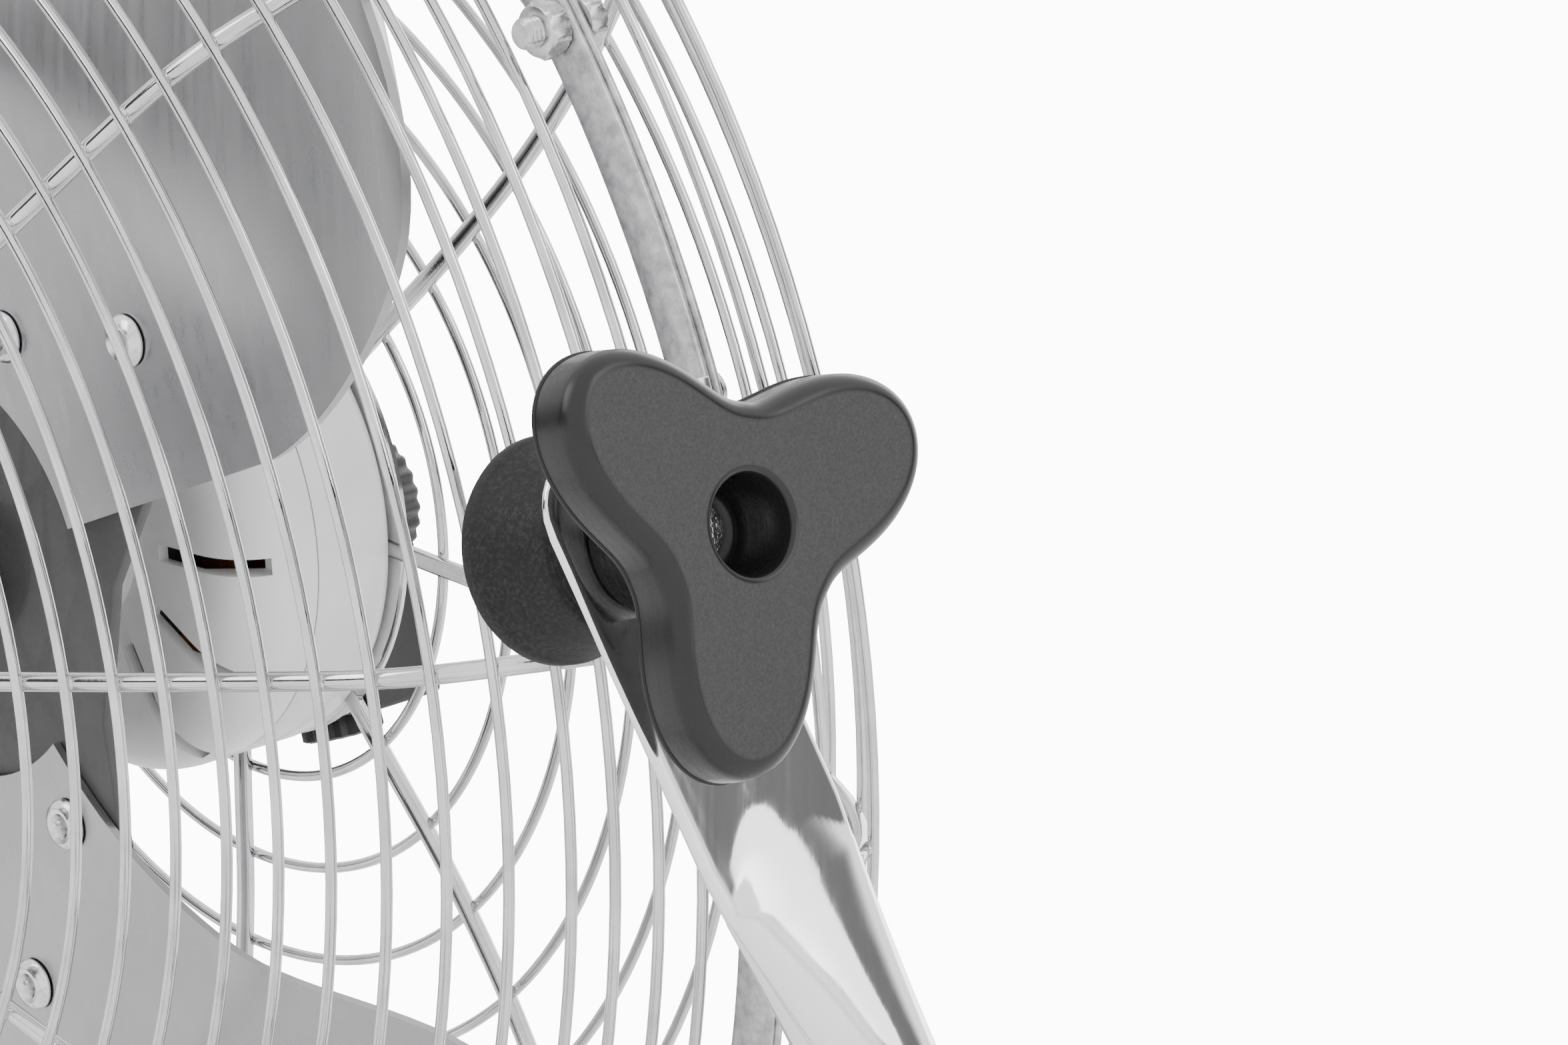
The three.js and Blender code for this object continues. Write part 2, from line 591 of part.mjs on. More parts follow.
const bearing = (y0) =>
  turned(
    [
      [SHAFT_D / 2 + GAP, y0], [BEARING_D / 2, y0], [BEARING_D / 2, y0 + 7], [SHAFT_D / 2 + GAP, y0 + 7],
    ],
    16,
    true,
  );
piece("front_bearing", bearing(SHELL_FRONT_Y - 5.5), STEEL);
piece("rear_bearing", bearing(BACK_Y - 7.5), STEEL);
const CORE_Y0 = 96.5;
const CORE_Y1 = 107.5;
piece(
  "stator_core",
  turned([[22, CORE_Y0], [MR - WALL - GAP, CORE_Y0], [MR - WALL - GAP, CORE_Y1], [22, CORE_Y1]], 20, true),
  STEEL,
);
for (const [name, y0, y1] of [
  ["stator_coil_front", CORE_Y0 - 5.5, CORE_Y0 - GAP],
  ["stator_coil_rear", CORE_Y1 + GAP, CORE_Y1 + 4.5],
]) {
  piece(name, turned([[24, y0], [MR - 9, y0], [MR - 9, y1], [24, y1]], 16, true), COPPER);
}
piece(
  "rotor_core",
  turned(
    [
      [SHAFT_D / 2 + GAP, CORE_Y0], [21.4, CORE_Y0], [21.4, CORE_Y1], [SHAFT_D / 2 + GAP, CORE_Y1],
    ],
    20,
    true,
  ),
  STEEL,
);
const SHAFT_Y0 = 42;
piece("motor_shaft", pin(SHAFT_D, SHAFT_Y0, BACK_Y - 1, 0, AXIS_Z, 16), STEEL);

// ---------- hub spider and blades ----------
const SPIDER_T = 2.5;
const HUB_D = 70;
const ARM_W = 46;
const spiderShape = new THREE.Shape();
{
  const first = rad(ARM_AT[0]);
  ARM_AT.forEach((deg, k) => {
    const a = first + (k * Math.PI * 2) / 3;
    const side = new THREE.Vector2(-Math.sin(a), Math.cos(a)).multiplyScalar(ARM_W / 2);
    const end = new THREE.Vector2(Math.cos(a), Math.sin(a));
    const root = end.clone().multiplyScalar(HUB_D / 2 - 4);
    const tip = end.clone().multiplyScalar(ARM_R - ARM_W / 2);
    const start = root.clone().sub(side.clone().multiplyScalar(1.25));
    if (k === 0) spiderShape.moveTo(start.x, start.y);
    else spiderShape.lineTo(start.x, start.y);
    spiderShape.lineTo(tip.x - side.x, tip.y - side.y);
    spiderShape.absarc(tip.x, tip.y, ARM_W / 2, a - Math.PI / 2, a + Math.PI / 2, false);
    spiderShape.lineTo(root.x + side.x * 1.25, root.y + side.y * 1.25);
  });
}
const spiderFlat = solid(
  new THREE.ExtrudeGeometry(spiderShape, { depth: SPIDER_T, bevelEnabled: false, curveSegments: 6 }),
);
// The shape's x stays X, its y becomes Z and its depth becomes -Y.
let spider = spiderFlat.transform([1, 0, 0, 0, 0, 0, 1, 0, 0, -1, 0, 0, 0, SPIDER_Y + SPIDER_T / 2, AXIS_Z, 1]);
const hub = turned([[0, 49], [12, 49], [12, 74], [0, 74]], 24);
spider = spider.add(hub).subtract(pin(SHAFT_D + 2 * GAP, 30, 90, 0, AXIS_Z, 16));
const setHole = solid(new THREE.CylinderGeometry(2.8, 2.8, 16, 10).rotateX(Math.PI / 2));
const SET_Y = 68;
spider = spider.subtract(setHole.translate([0, SET_Y, AXIS_Z + 10]));
const setScrew = solid(new THREE.CylinderGeometry(2.4, 2.4, 9, 10).rotateX(Math.PI / 2));
piece("hub_set_screw", setScrew.translate([0, SET_Y, AXIS_Z + SHAFT_D / 2 + GAP + 4.5]), STEEL);

// A blade: thin, wide and pitched, its front edge leading. It lies on the front of its arm near the hub.
const BLADE_T = 1.4;
const BLADE_Y = SPIDER_Y - SPIDER_T / 2 - GAP - BLADE_T / 2;
const RIVETS_AT = [[46, 14], [71.6, -7.5]]; // along and across each arm
function blade(deg) {
  const rows = [];
  const stations = [36, 66, 92, 112, 131, 150, 165, BLADE_R]; // radius of each row, flat up to the arm's end
  const across = 7;
  for (const r of stations) {
    const t = r / BLADE_R;
    const open = THREE.MathUtils.smoothstep(r, ARM_R + 2, 150);
    const sweep = Math.max(0, (r - 95) / 80);
    const lead = rad(THREE.MathUtils.lerp(26, 42, THREE.MathUtils.smoothstep(r, 36, 130)) - 16 * t ** 8);
    const trail = rad(27 - 13 * sweep ** 1.3 - 16 * sweep ** 8);
    const line = [];
    for (let j = 0; j <= across; j += 1) {
      const u = j / across; // 0 at the leading edge, 1 at the trailing edge
      const a = rad(deg) + THREE.MathUtils.lerp(lead, -trail, u);
      const pitch = (0.82 - u) * 30 * open + 5 * open * Math.sin(Math.PI * u);
      line.push([r, a, BLADE_Y + pitch]);
    }
    const at = ([rr, a, y], dy) => new THREE.Vector3(rr * Math.cos(a), y + dy, AXIS_Z + rr * Math.sin(a));
    rows.push([
      ...line.map((p) => at(p, -BLADE_T / 2)),
      ...[...line].reverse().map((p) => at(p, BLADE_T / 2)),
    ]);
  }
  return loft(rows);
}
ARM_AT.forEach((deg, k) => {
  let body = blade(deg);
  RIVETS_AT.forEach(([along, off], i) => {
    const a = rad(deg);
    const x = along * Math.cos(a) - off * Math.sin(a);
    const z = AXIS_Z + along * Math.sin(a) + off * Math.cos(a);
    const hole = pin(5 + 2 * GAP, SPIDER_Y - 8, SPIDER_Y + 8, x, z, 8);
    body = body.subtract(hole);
    spider = spider.subtract(hole);
    const front = BLADE_Y - BLADE_T / 2 - GAP;
    const back = SPIDER_Y + SPIDER_T / 2 + GAP;
    const fixing = pin(5, front - 1.4, back + 1, x, z, 8)
      .add(pin(9, front - 1.8, front, x, z, 8))
      .add(pin(8.4, back, back + 1.5, x, z, 8))
      .subtract(pin(3, front - 4, front + 1.6, x, z, 6));
    piece(`blade_rivet_${k * 2 + i + 1}`, fixing, ALU);
  });
  piece(`blade_${k + 1}`, body, ALU);
});
piece("hub_spider", spider.simplify(0.02), DARK_PAINT);

// ---------- speed switch, capacitor and cable entry on the back ----------
const BOX_Y1 = PLATE_Y + 2 + GAP;
const SWITCH_Z = AXIS_Z - 14;
let housing = block(-20, BOX_Y1, SWITCH_Z - 28, 20, BOX_Y1 + 16, SWITCH_Z + 22);
housing = housing.subtract(block(-18, BOX_Y1 - 1, SWITCH_Z - 26, 18, BOX_Y1 + 14, SWITCH_Z + 20));
housing = housing.subtract(pin(7, BOX_Y1 + 12, BOX_Y1 + 20, 0, SWITCH_Z + 6, 12));
const glandHole = solid(new THREE.CylinderGeometry(4.6, 4.6, 8, 12).rotateX(Math.PI / 2));
housing = housing.subtract(glandHole.translate([0, BOX_Y1 + 8, SWITCH_Z - 27]));
piece("switch_housing", housing, BLACK);
const switchBody = block(-11, BOX_Y1 + 4, SWITCH_Z - 4, 11, BOX_Y1 + 13.7, SWITCH_Z + 16)
  .add(pin(6, BOX_Y1 + 13, BOX_Y1 + 20, 0, SWITCH_Z + 6, 12));
piece("speed_switch", switchBody, WHITE_PLASTIC);
const KNOB_Y = BOX_Y1 + 16 + GAP;
let speedKnob = turned(
  [[0, KNOB_Y], [14, KNOB_Y], [14, KNOB_Y + 3], [12, KNOB_Y + 11], [0, KNOB_Y + 11]],
  18,
).translate([0, 0, SWITCH_Z + 6 - AXIS_Z]);
speedKnob = speedKnob.add(block(-1.8, KNOB_Y + 10, SWITCH_Z - 5, 1.8, KNOB_Y + 15, SWITCH_Z + 17.5));
speedKnob = speedKnob.subtract(pin(6 + 2 * GAP, KNOB_Y - 2, KNOB_Y + 6, 0, SWITCH_Z + 6, 12));
piece("speed_knob", speedKnob, BLACK);
piece("run_capacitor", block(-16, BOX_Y1 + 2, SWITCH_Z - 18, 16, BOX_Y1 + 12, SWITCH_Z - 5), BLACK);
const gland = solid(new THREE.CylinderGeometry(4.2, 4.2, 12, 12).rotateX(Math.PI / 2))
  .add(solid(new THREE.CylinderGeometry(7, 7, 4, 12).rotateX(Math.PI / 2)).translate([0, 0, -4.6]))
  .subtract(solid(new THREE.CylinderGeometry(2.6, 2.6, 30, 10).rotateX(Math.PI / 2)));
piece("cable_gland", gland.translate([0, BOX_Y1 + 8, SWITCH_Z - 26]), BLACK);

// ---------- carry handle on the top of the rim ----------
const HANDLE_W = 50;
const HANDLE_H = 34;
const HZ = AXIS_Z + Math.sqrt(RIM_OUT ** 2 - HANDLE_W ** 2);
const HANDLE_T = 8; // front to back
const HANDLE_Y = REAR_RIM_Y + STRIP_T / 2 + GAP + HANDLE_T / 2;
const handleRow = [
  new THREE.Vector3(-HANDLE_W, HANDLE_Y, HZ - 9),
  ...corner(
    new THREE.Vector3(-HANDLE_W, HANDLE_Y, HZ),
    new THREE.Vector3(-HANDLE_W, HANDLE_Y, HZ + HANDLE_H + 10),
    new THREE.Vector3(0, HANDLE_Y, HZ + HANDLE_H + 14),
    16,
    5,
  ),
];
const handleAll = [...handleRow, ...handleRow.map((p) => p.clone().setX(-p.x)).reverse()];
let handle = bar(handleAll, new THREE.Vector3(0, 1, 0), HANDLE_T * 1.414, 17, 4, 0.5);
const HANDLE_HOLE_Z = HZ - 4.5;
for (const [end, side] of [["right", 1], ["left", -1]]) {
  const x = side * HANDLE_W;
  const hole = pin(4 + 2 * GAP, RIM_Y - 2, HANDLE_Y + 2.2, x, HANDLE_HOLE_Z, 10);
  handle = handle.subtract(hole);
  frontGuard = frontGuard.subtract(hole);
  rearGuard = rearGuard.subtract(hole);
  const front = RIM_Y - STRIP_T / 2 - GAP;
  const screw = pin(4, front - 1, HANDLE_Y + 1.6, x, HANDLE_HOLE_Z, 10).add(
    pin(7.4, front - 2.6, front, x, HANDLE_HOLE_Z, 10),
  );
  piece(`handle_screw_${end}`, screw, ZINC);
}
piece("carry_handle", handle, BLACK);
piece("front_guard", frontGuard, CHROME);
piece("rear_guard", rearGuard, CHROME);
piece("motor_rear_shell", rearShell, SILVER_PAINT);

// ---------- rest pose and origin ----------
stand.position.set(0, -CENTRE_Y, 0);
head.rotation.x = rad(HEAD_TILT);
head.position.set(0, PIVOT_Y, PIVOT_Z).sub(new THREE.Vector3(0, PIVOT_Y, PIVOT_Z).applyEuler(head.rotation));
head.position.y -= CENTRE_Y;

export default group;
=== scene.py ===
from math import cos, pi, radians, sin, sqrt

import bmesh
import bpy
from mathutils import Matrix, Vector


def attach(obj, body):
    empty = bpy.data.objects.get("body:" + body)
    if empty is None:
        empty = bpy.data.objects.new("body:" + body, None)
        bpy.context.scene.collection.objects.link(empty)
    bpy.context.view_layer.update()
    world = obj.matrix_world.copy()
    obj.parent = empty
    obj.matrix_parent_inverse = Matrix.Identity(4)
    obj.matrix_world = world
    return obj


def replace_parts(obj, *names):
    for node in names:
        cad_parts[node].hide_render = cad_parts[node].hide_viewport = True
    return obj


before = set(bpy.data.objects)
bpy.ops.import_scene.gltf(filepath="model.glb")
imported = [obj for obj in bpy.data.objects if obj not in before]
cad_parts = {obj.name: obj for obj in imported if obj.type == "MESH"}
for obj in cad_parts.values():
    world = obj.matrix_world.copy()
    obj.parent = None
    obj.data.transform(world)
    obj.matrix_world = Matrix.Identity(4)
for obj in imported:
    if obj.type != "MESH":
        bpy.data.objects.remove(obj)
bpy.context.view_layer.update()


def linked(name, data):
    """A new object in the scene."""
    thing = bpy.data.objects.new(name, data)
    bpy.context.collection.objects.link(thing)
    return thing



# ---------------------------------------------------------------------------
# Camera, floor and studio light
# A long lens a little below the right-hand tilt knob, a pale floor, and soft white light all round
# with a few grey flags, so that the chrome has something to show.
# ---------------------------------------------------------------------------
camera = linked("studio_camera", bpy.data.cameras.new("studio_camera"))
camera.data.sensor_width = 36
camera.data.lens = 183.1
camera.data.clip_start = 0.02
across, upward = Vector((0.6428, 0.7661, 0.0014)), Vector((0.0835, -0.0718, 0.9939))
backward = across.cross(upward).normalized()
upward = backward.cross(across).normalized()
camera.matrix_world = Matrix.Translation((1.1101, -0.7000, 0.1157)) @ Matrix(
    (across.normalized(), upward, backward)
).transposed().to_4x4()
bpy.context.scene.camera = camera


def nodes_of(owner):
    """The emptied node tree of a material, or of the world."""
    owner.use_nodes = True
    owner.node_tree.nodes.clear()
    return owner.node_tree


def add(tree, kind, inputs=None, **settings):
    """A node with its settings, and its inputs given as values or as other nodes' outputs."""
    made = tree.nodes.new(kind)
    for key, value in settings.items():
        setattr(made, key, value)
    for key, value in (inputs or {}).items():
        if isinstance(value, bpy.types.NodeSocket):
            tree.links.new(value, made.inputs[key])
        else:
            made.inputs[key].default_value = value
    return made


def floor_finish():
    paint = bpy.data.materials.new("pale_floor")
    tree = nodes_of(paint)
    place = add(tree, "ShaderNodeTexCoord").outputs["Object"]
    cloud = add(tree, "ShaderNodeTexNoise", {"Vector": place, "Scale": 1.5, "Detail": 2.0})
    tint = add(
        tree, "ShaderNodeMix",
        {"Factor": cloud.outputs["Fac"], "A": (0.86, 0.86, 0.86, 1), "B": (0.9, 0.9, 0.9, 1)},
        data_type="RGBA"
    )
    shader = add(tree, "ShaderNodeBsdfPrincipled", {"Roughness": 0.7})
    tree.links.new(tint.outputs["Result"], shader.inputs["Base Color"])
    add(tree, "ShaderNodeOutputMaterial", {"Surface": shader.outputs["BSDF"]})
    return paint


floor_mesh = bpy.data.meshes.new("floor")
floor_mesh.from_pydata([(-6, -6, 0), (6, -6, 0), (6, 6, 0), (-6, 6, 0)], [], [(0, 1, 2, 3)])
floor = linked("floor", floor_mesh)
floor_mesh.materials.append(floor_finish())

studio = bpy.data.worlds.new("studio")
bpy.context.scene.world = studio
sky = nodes_of(studio)
look = add(sky, "ShaderNodeTexCoord").outputs["Generated"]
split = add(sky, "ShaderNodeSeparateXYZ", {"Vector": look})
# white walls all round with three grey flags, which give the chrome its dark bands and the blades their shade
level = add(
    sky, "ShaderNodeMapRange",
    {"Value": split.outputs["Z"], "From Min": -0.5, "From Max": -0.1, "To Min": 1.5, "To Max": 2.3}
)
for toward, start, full, dark in (
    ((0.722, 0.692, 0.02), 0.80, 0.93, 0.12), ((-0.77, -0.54, -0.34), 0.72, 0.95, 0.16),
    ((-0.33, -0.944, 0.0), 0.84, 0.95, 0.06)
):
    facing = add(sky, "ShaderNodeVectorMath", {0: look, 1: toward}, operation="DOT_PRODUCT")
    flag = add(
        sky, "ShaderNodeMapRange",
        {
            "Value": facing.outputs["Value"], "From Min": start, "From Max": full, "To Min": 1.0,
            "To Max": dark
        },
        interpolation_type="SMOOTHSTEP"
    )
    level = add(
        sky, "ShaderNodeMath", {0: level.outputs[0], 1: flag.outputs["Result"]}, operation="MULTIPLY"
    )
room = add(sky, "ShaderNodeBackground", {"Strength": level.outputs[0]})
plain = add(sky, "ShaderNodeBackground", {"Color": (1, 1, 1, 1), "Strength": 12.0})
ray = add(sky, "ShaderNodeLightPath").outputs["Is Camera Ray"]
both = add(sky, "ShaderNodeMixShader", {0: ray, 1: room.outputs[0], 2: plain.outputs[0]})
add(sky, "ShaderNodeOutputWorld", {"Surface": both.outputs[0]})

for label, spot, aim, size, watts in (
    ("key_softbox", (-0.1, -1.7, 1.3), (0.1, 0, 0.25), 1.0, 16),
    ("side_softbox", (1.7, 0.6, 0.9), (0.2, 0, 0.25), 0.9, 10),
    ("back_softbox", (-0.5, 1.8, 1.2), (0, 0, 0.25), 1.2, 14),
):
    lamp = linked(label, bpy.data.lights.new(label, "AREA"))
    lamp.data.shape, lamp.data.energy = "RECTANGLE", watts
    lamp.data.size, lamp.data.size_y = size, size * 1.4
    lamp.location = spot
    lamp.rotation_euler = (Vector(aim) - Vector(spot)).to_track_quat("-Z", "Y").to_euler()

# ---------------------------------------------------------------------------
# Front guard
# Ring wires 9.4 mm apart are spot-welded outside ten thicker ribs, all steel, then chromed together.
# The ribs lie down on a flat rim strip, and a small ring in the middle carries the badge.
# ---------------------------------------------------------------------------
AXIS_Z, PIVOT_Y, PIVOT_Z, CENTRE_Y = 0.246, 0.0235, 0.240, 0.004384
GAP = 0.0003  # between parts that touch
HEAD = (
    Matrix.Translation((0, PIVOT_Y - CENTRE_Y, PIVOT_Z))
    @ Matrix.Rotation(radians(17), 4, "X")
    @ Matrix.Translation((0, -PIVOT_Y, -PIVOT_Z))
)
RING_WIRE, RIB_WIRE = 0.0019, 0.0032
RIM_Y, RIM_IN, RIM_OUT, STRIP_T = 0.0583, 0.194, 0.202, 0.0015
FRONT_LINE = (
    (38, -11), (66, -7), (94, 0), (113, 5.1), (131.5, 10.6), (142, 13.9), (151, 17), (158.8, 20.7),
    (165.6, 25.6), (171.6, 31.6), (178, 38.4), (183.4, 44.3), (188.2, 49.8), (190.8, 53.2),
)


def profile_at(line):
    """A smooth centripetal curve through (radius, depth) points in mm, in metres, by its share."""
    steps = 60
    rows = [Vector(p) / 1000 for p in line]
    rows = [2 * rows[0] - rows[1], *rows, 2 * rows[-1] - rows[-2]]
    points = []
    for p0, p1, p2, p3 in zip(rows, rows[1:], rows[2:], rows[3:]):
        d0, d1, d2 = (sqrt((b - a).length) for a, b in ((p0, p1), (p1, p2), (p2, p3)))
        t1 = ((p1 - p0) / d0 - (p2 - p0) / (d0 + d1) + (p2 - p1) / d1) * d1
        t2 = ((p2 - p1) / d1 - (p3 - p1) / (d1 + d2) + (p3 - p2) / d2) * d1
        for i in range(steps):
            t = i / steps
            points.append(
                p1 + t1 * t + (3 * (p2 - p1) - 2 * t1 - t2) * t**2 + (2 * (p1 - p2) + t1 + t2) * t**3
            )
    points.append(rows[-2])
    lengths = [0.0]
    for a, b in zip(points, points[1:]):
        lengths.append(lengths[-1] + (b - a).length)

    def at(share):
        want = min(max(share, 0), 1) * lengths[-1]
        i = next((k for k in range(1, len(lengths)) if lengths[k] >= want - 1e-12), len(lengths) - 1)
        f = (want - lengths[i - 1]) / (lengths[i] - lengths[i - 1])
        return points[i - 1].lerp(points[i], f), (points[i] - points[i - 1]).normalized()

    return at


def shaded(mesh, smooth):
    """Smooth shading, with a sharp edge where faces meet at more than smooth degrees."""
    mesh.shade_smooth()
    mesh.set_sharp_from_angle(angle=radians(smooth))


def baked(thing):
    """The mesh that an object's modifiers make of it."""
    bpy.context.view_layer.update()
    graph = bpy.context.evaluated_depsgraph_get()
    return bpy.data.meshes.new_from_object(thing.evaluated_get(graph), depsgraph=graph)


def settled(thing, smooth):
    """The same object with its modifiers applied."""
    mesh = baked(thing)
    thing.modifiers.clear()
    thing.data = mesh
    shaded(mesh, smooth)
    return thing


def rounded(thing, width, corner, smooth):
    """The same object with its edges sharper than corner degrees rounded."""
    rounding = thing.modifiers.new("rounding", "BEVEL")
    rounding.width, rounding.segments = width, 3
    rounding.limit_method, rounding.angle_limit = "ANGLE", radians(corner)
    return settled(thing, smooth)


def bands(rows, sides, closed=False):
    """The faces between rows of points, each row a loop of so many sides."""
    faces, total = [], rows * sides
    for i in range(rows if closed else rows - 1):
        for k in range(sides):
            a, b = i * sides + k, i * sides + (k + 1) % sides
            faces.append((a, b, (b + sides) % total, (a + sides) % total))
    return faces


def new_piece(name, verts, faces, edges=(), smooth=40):
    """A mesh object at the origin. Faces that meet at more than smooth degrees keep a sharp edge."""
    mesh = bpy.data.meshes.new(name)
    mesh.from_pydata([tuple(v) for v in verts], list(edges), faces)
    if faces:
        shape = bmesh.new()
        shape.from_mesh(mesh)
        bmesh.ops.remove_doubles(shape, verts=shape.verts, dist=2e-6)
        bmesh.ops.recalc_face_normals(shape, faces=shape.faces)
        shape.to_mesh(mesh)
        shape.free()
        shaded(mesh, smooth)
    return linked(name, mesh)


def new_tree(name, **sockets):
    """A Geometry Nodes tree with a geometry input and output and the named inputs."""
    tree = bpy.data.node_groups.new(name, "GeometryNodeTree")
    tree.interface.new_socket("Geometry", in_out="INPUT", socket_type="NodeSocketGeometry")
    for label, (kind, value) in sockets.items():
        socket = tree.interface.new_socket(label, in_out="INPUT", socket_type="NodeSocket" + kind)
        if value is not None:
            socket.default_value = value
    tree.interface.new_socket("Geometry", in_out="OUTPUT", socket_type="NodeSocketGeometry")
    return tree, tree.nodes.new("NodeGroupInput").outputs


def end_tree(tree, shape, finish):
    """Ends a tree with real geometry in one finish."""
    real = add(tree, "GeometryNodeRealizeInstances", {"Geometry": shape})
    done = add(tree, "GeometryNodeSetMaterial", {"Geometry": real.outputs[0], "Material": finish})
    add(tree, "NodeGroupOutput", {"Geometry": done.outputs[0]})


def grown(name, source, tree, smooth=40, **values):
    """The plain mesh that a tree makes of a source object, which goes."""
    grower = source.modifiers.new("grower", "NODES")
    grower.node_group = tree
    for item in tree.interface.items_tree:
        if item.item_type == "SOCKET" and item.in_out == "INPUT" and item.name in values:
            grower[item.identifier] = values[item.name]
    thing = linked(name, baked(source))
    bpy.data.objects.remove(source)
    shaded(thing.data, smooth)
    return thing


def round_axis(tree, given, shape, step):
    """Copies of a shape turned about the Y axis, a step apart."""
    spots = add(tree, "GeometryNodeMeshLine", {"Count": given["Count"], "Offset": (0, 0, 0)})
    index = add(tree, "GeometryNodeInputIndex").outputs[0]
    turn = add(tree, "ShaderNodeMath", {0: index, 1: step, 2: given["Start"]}, operation="MULTIPLY_ADD")
    lie = add(tree, "ShaderNodeCombineXYZ", {"Y": turn.outputs[0]})
    settings = {"Points": spots.outputs[0], "Instance": shape, "Rotation": lie.outputs[0]}
    return add(tree, "GeometryNodeInstanceOnPoints", settings).outputs[0]


def joined(name, *things):
    """Several objects as one mesh, with the first one's materials."""
    shape = bmesh.new()
    for thing in things:
        shape.from_mesh(thing.data)
    mesh = things[0].data
    shape.to_mesh(mesh)
    shape.free()
    for thing in things[1:]:
        bpy.data.objects.remove(thing)
    things[0].name = name
    return things[0]


def done(thing, body, slot, *nodes, place=HEAD, finish=None):
    """Puts a finished mesh in its place, gives it its body and finish, and hides the CAD nodes that it
    replaces.
    """
    if place is not None:
        thing.data.transform(place)
    if finish is not None:
        thing.data.materials.clear()
        thing.data.materials.append(finish)
    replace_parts(thing, *nodes) if nodes else None
    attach(thing, body)
    return thing


def surface(name, dark, light, rough, metallic, cloud=40, grain=900, bump=0.1, depth=0.00005,
            stretch=(1, 1, 1), spread=0.05, coat=0.0, turn=(0, 0, 0)):
    """A finish with cloudy tone between dark and light, fine grain in its gloss, and a shallow relief."""
    finish = bpy.data.materials.new(name)
    tree = nodes_of(finish)
    place = add(tree, "ShaderNodeTexCoord").outputs["Object"]
    along = add(tree, "ShaderNodeMapping", {"Vector": place, "Rotation": turn, "Scale": stretch})
    clouds = add(
        tree, "ShaderNodeTexNoise", {"Vector": place, "Scale": cloud, "Detail": 4.0, "Roughness": 0.6}
    )
    grains = add(
        tree, "ShaderNodeTexNoise",
        {"Vector": along.outputs[0], "Scale": grain, "Detail": 3.0, "Roughness": 0.65}
    )
    tone = add(
        tree, "ShaderNodeMapRange", {"Value": clouds.outputs["Fac"], "From Min": 0.3, "From Max": 0.7}
    )
    tint = add(
        tree, "ShaderNodeMix", {"Factor": tone.outputs[0], "A": (*dark, 1), "B": (*light, 1)},
        data_type="RGBA"
    )
    gloss = add(
        tree, "ShaderNodeMapRange",
        {
            "Value": grains.outputs["Fac"], "From Min": 0.25, "From Max": 0.75,
            "To Min": max(rough - spread, 0.02), "To Max": rough + spread
        }
    )
    relief = add(
        tree, "ShaderNodeBump", {"Height": grains.outputs["Fac"], "Strength": bump, "Distance": depth}
    )
    shader = add(tree, "ShaderNodeBsdfPrincipled", {
        "Base Color": tint.outputs["Result"], "Roughness": gloss.outputs[0], "Normal": relief.outputs[0],
        "Metallic": metallic, "Coat Weight": coat,
    })
    add(tree, "ShaderNodeOutputMaterial", {"Surface": shader.outputs["BSDF"]})
    return finish


chrome = surface(
    "chromed_wire", (0.5, 0.5, 0.51), (0.7, 0.7, 0.71), 0.07, 1.0, cloud=90, grain=1400, bump=0.12,
    depth=0.00006, spread=0.06
)

ring_tree, given = new_tree("ring_wires", Wire=("Float", 0.001), Finish=("Material", None))
circle = add(ring_tree, "GeometryNodeCurvePrimitiveCircle", {"Resolution": 160, "Radius": 1.0})
spread = add(ring_tree, "GeometryNodeInputNamedAttribute", {"Name": "ring_radius"}, data_type="FLOAT")
scale = add(
    ring_tree, "ShaderNodeCombineXYZ", {0: spread.outputs[0], 1: spread.outputs[0], 2: spread.outputs[0]}
)
rings = add(
    ring_tree, "GeometryNodeInstanceOnPoints",
    {
        "Points": given["Geometry"], "Instance": circle.outputs[0], "Rotation": (pi / 2, 0, 0),
        "Scale": scale.outputs[0]
    }
)
real_rings = add(ring_tree, "GeometryNodeRealizeInstances", {"Geometry": rings.outputs[0]})
section = add(ring_tree, "GeometryNodeCurvePrimitiveCircle", {"Resolution": 10, "Radius": given["Wire"]})
wires = add(
    ring_tree, "GeometryNodeCurveToMesh",
    {"Curve": real_rings.outputs[0], "Profile Curve": section.outputs[0]}
)
end_tree(ring_tree, wires.outputs[0], given["Finish"])

rib_tree, given = new_tree(
    "rib_wires", Wire=("Float", 0.001), Count=("Int", 1), Start=("Float", 0.0), Step=("Float", 1.0),
    Finish=("Material", None)
)
curve = add(rib_tree, "GeometryNodeMeshToCurve", {"Mesh": given["Geometry"]})
section = add(rib_tree, "GeometryNodeCurvePrimitiveCircle", {"Resolution": 12, "Radius": given["Wire"]})
wires = add(
    rib_tree, "GeometryNodeCurveToMesh",
    {"Curve": curve.outputs[0], "Profile Curve": section.outputs[0], "Fill Caps": True}
)
end_tree(rib_tree, round_axis(rib_tree, given, wires.outputs[0], given["Step"]), given["Finish"])

weld_tree, given = new_tree(
    "weld_nuggets", Size=("Float", 0.001), Count=("Int", 1), Start=("Float", 0.0), Step=("Float", 1.0),
    Seed=("Int", 4), Finish=("Material", None)
)
blob = add(weld_tree, "GeometryNodeMeshIcoSphere", {"Radius": given["Size"], "Subdivisions": 2})
vary = add(
    weld_tree, "FunctionNodeRandomValue",
    {"Min": (0.8, 0.8, 0.7), "Max": (1.3, 1.2, 1.15), "Seed": given["Seed"]}, data_type="FLOAT_VECTOR"
)
nuggets = add(
    weld_tree, "GeometryNodeInstanceOnPoints",
    {"Points": given["Geometry"], "Instance": blob.outputs[0], "Scale": vary.outputs[0]}
)
real_nuggets = add(weld_tree, "GeometryNodeRealizeInstances", {"Geometry": nuggets.outputs[0]})
end_tree(weld_tree, round_axis(weld_tree, given, real_nuggets.outputs[0], given["Step"]), given["Finish"])


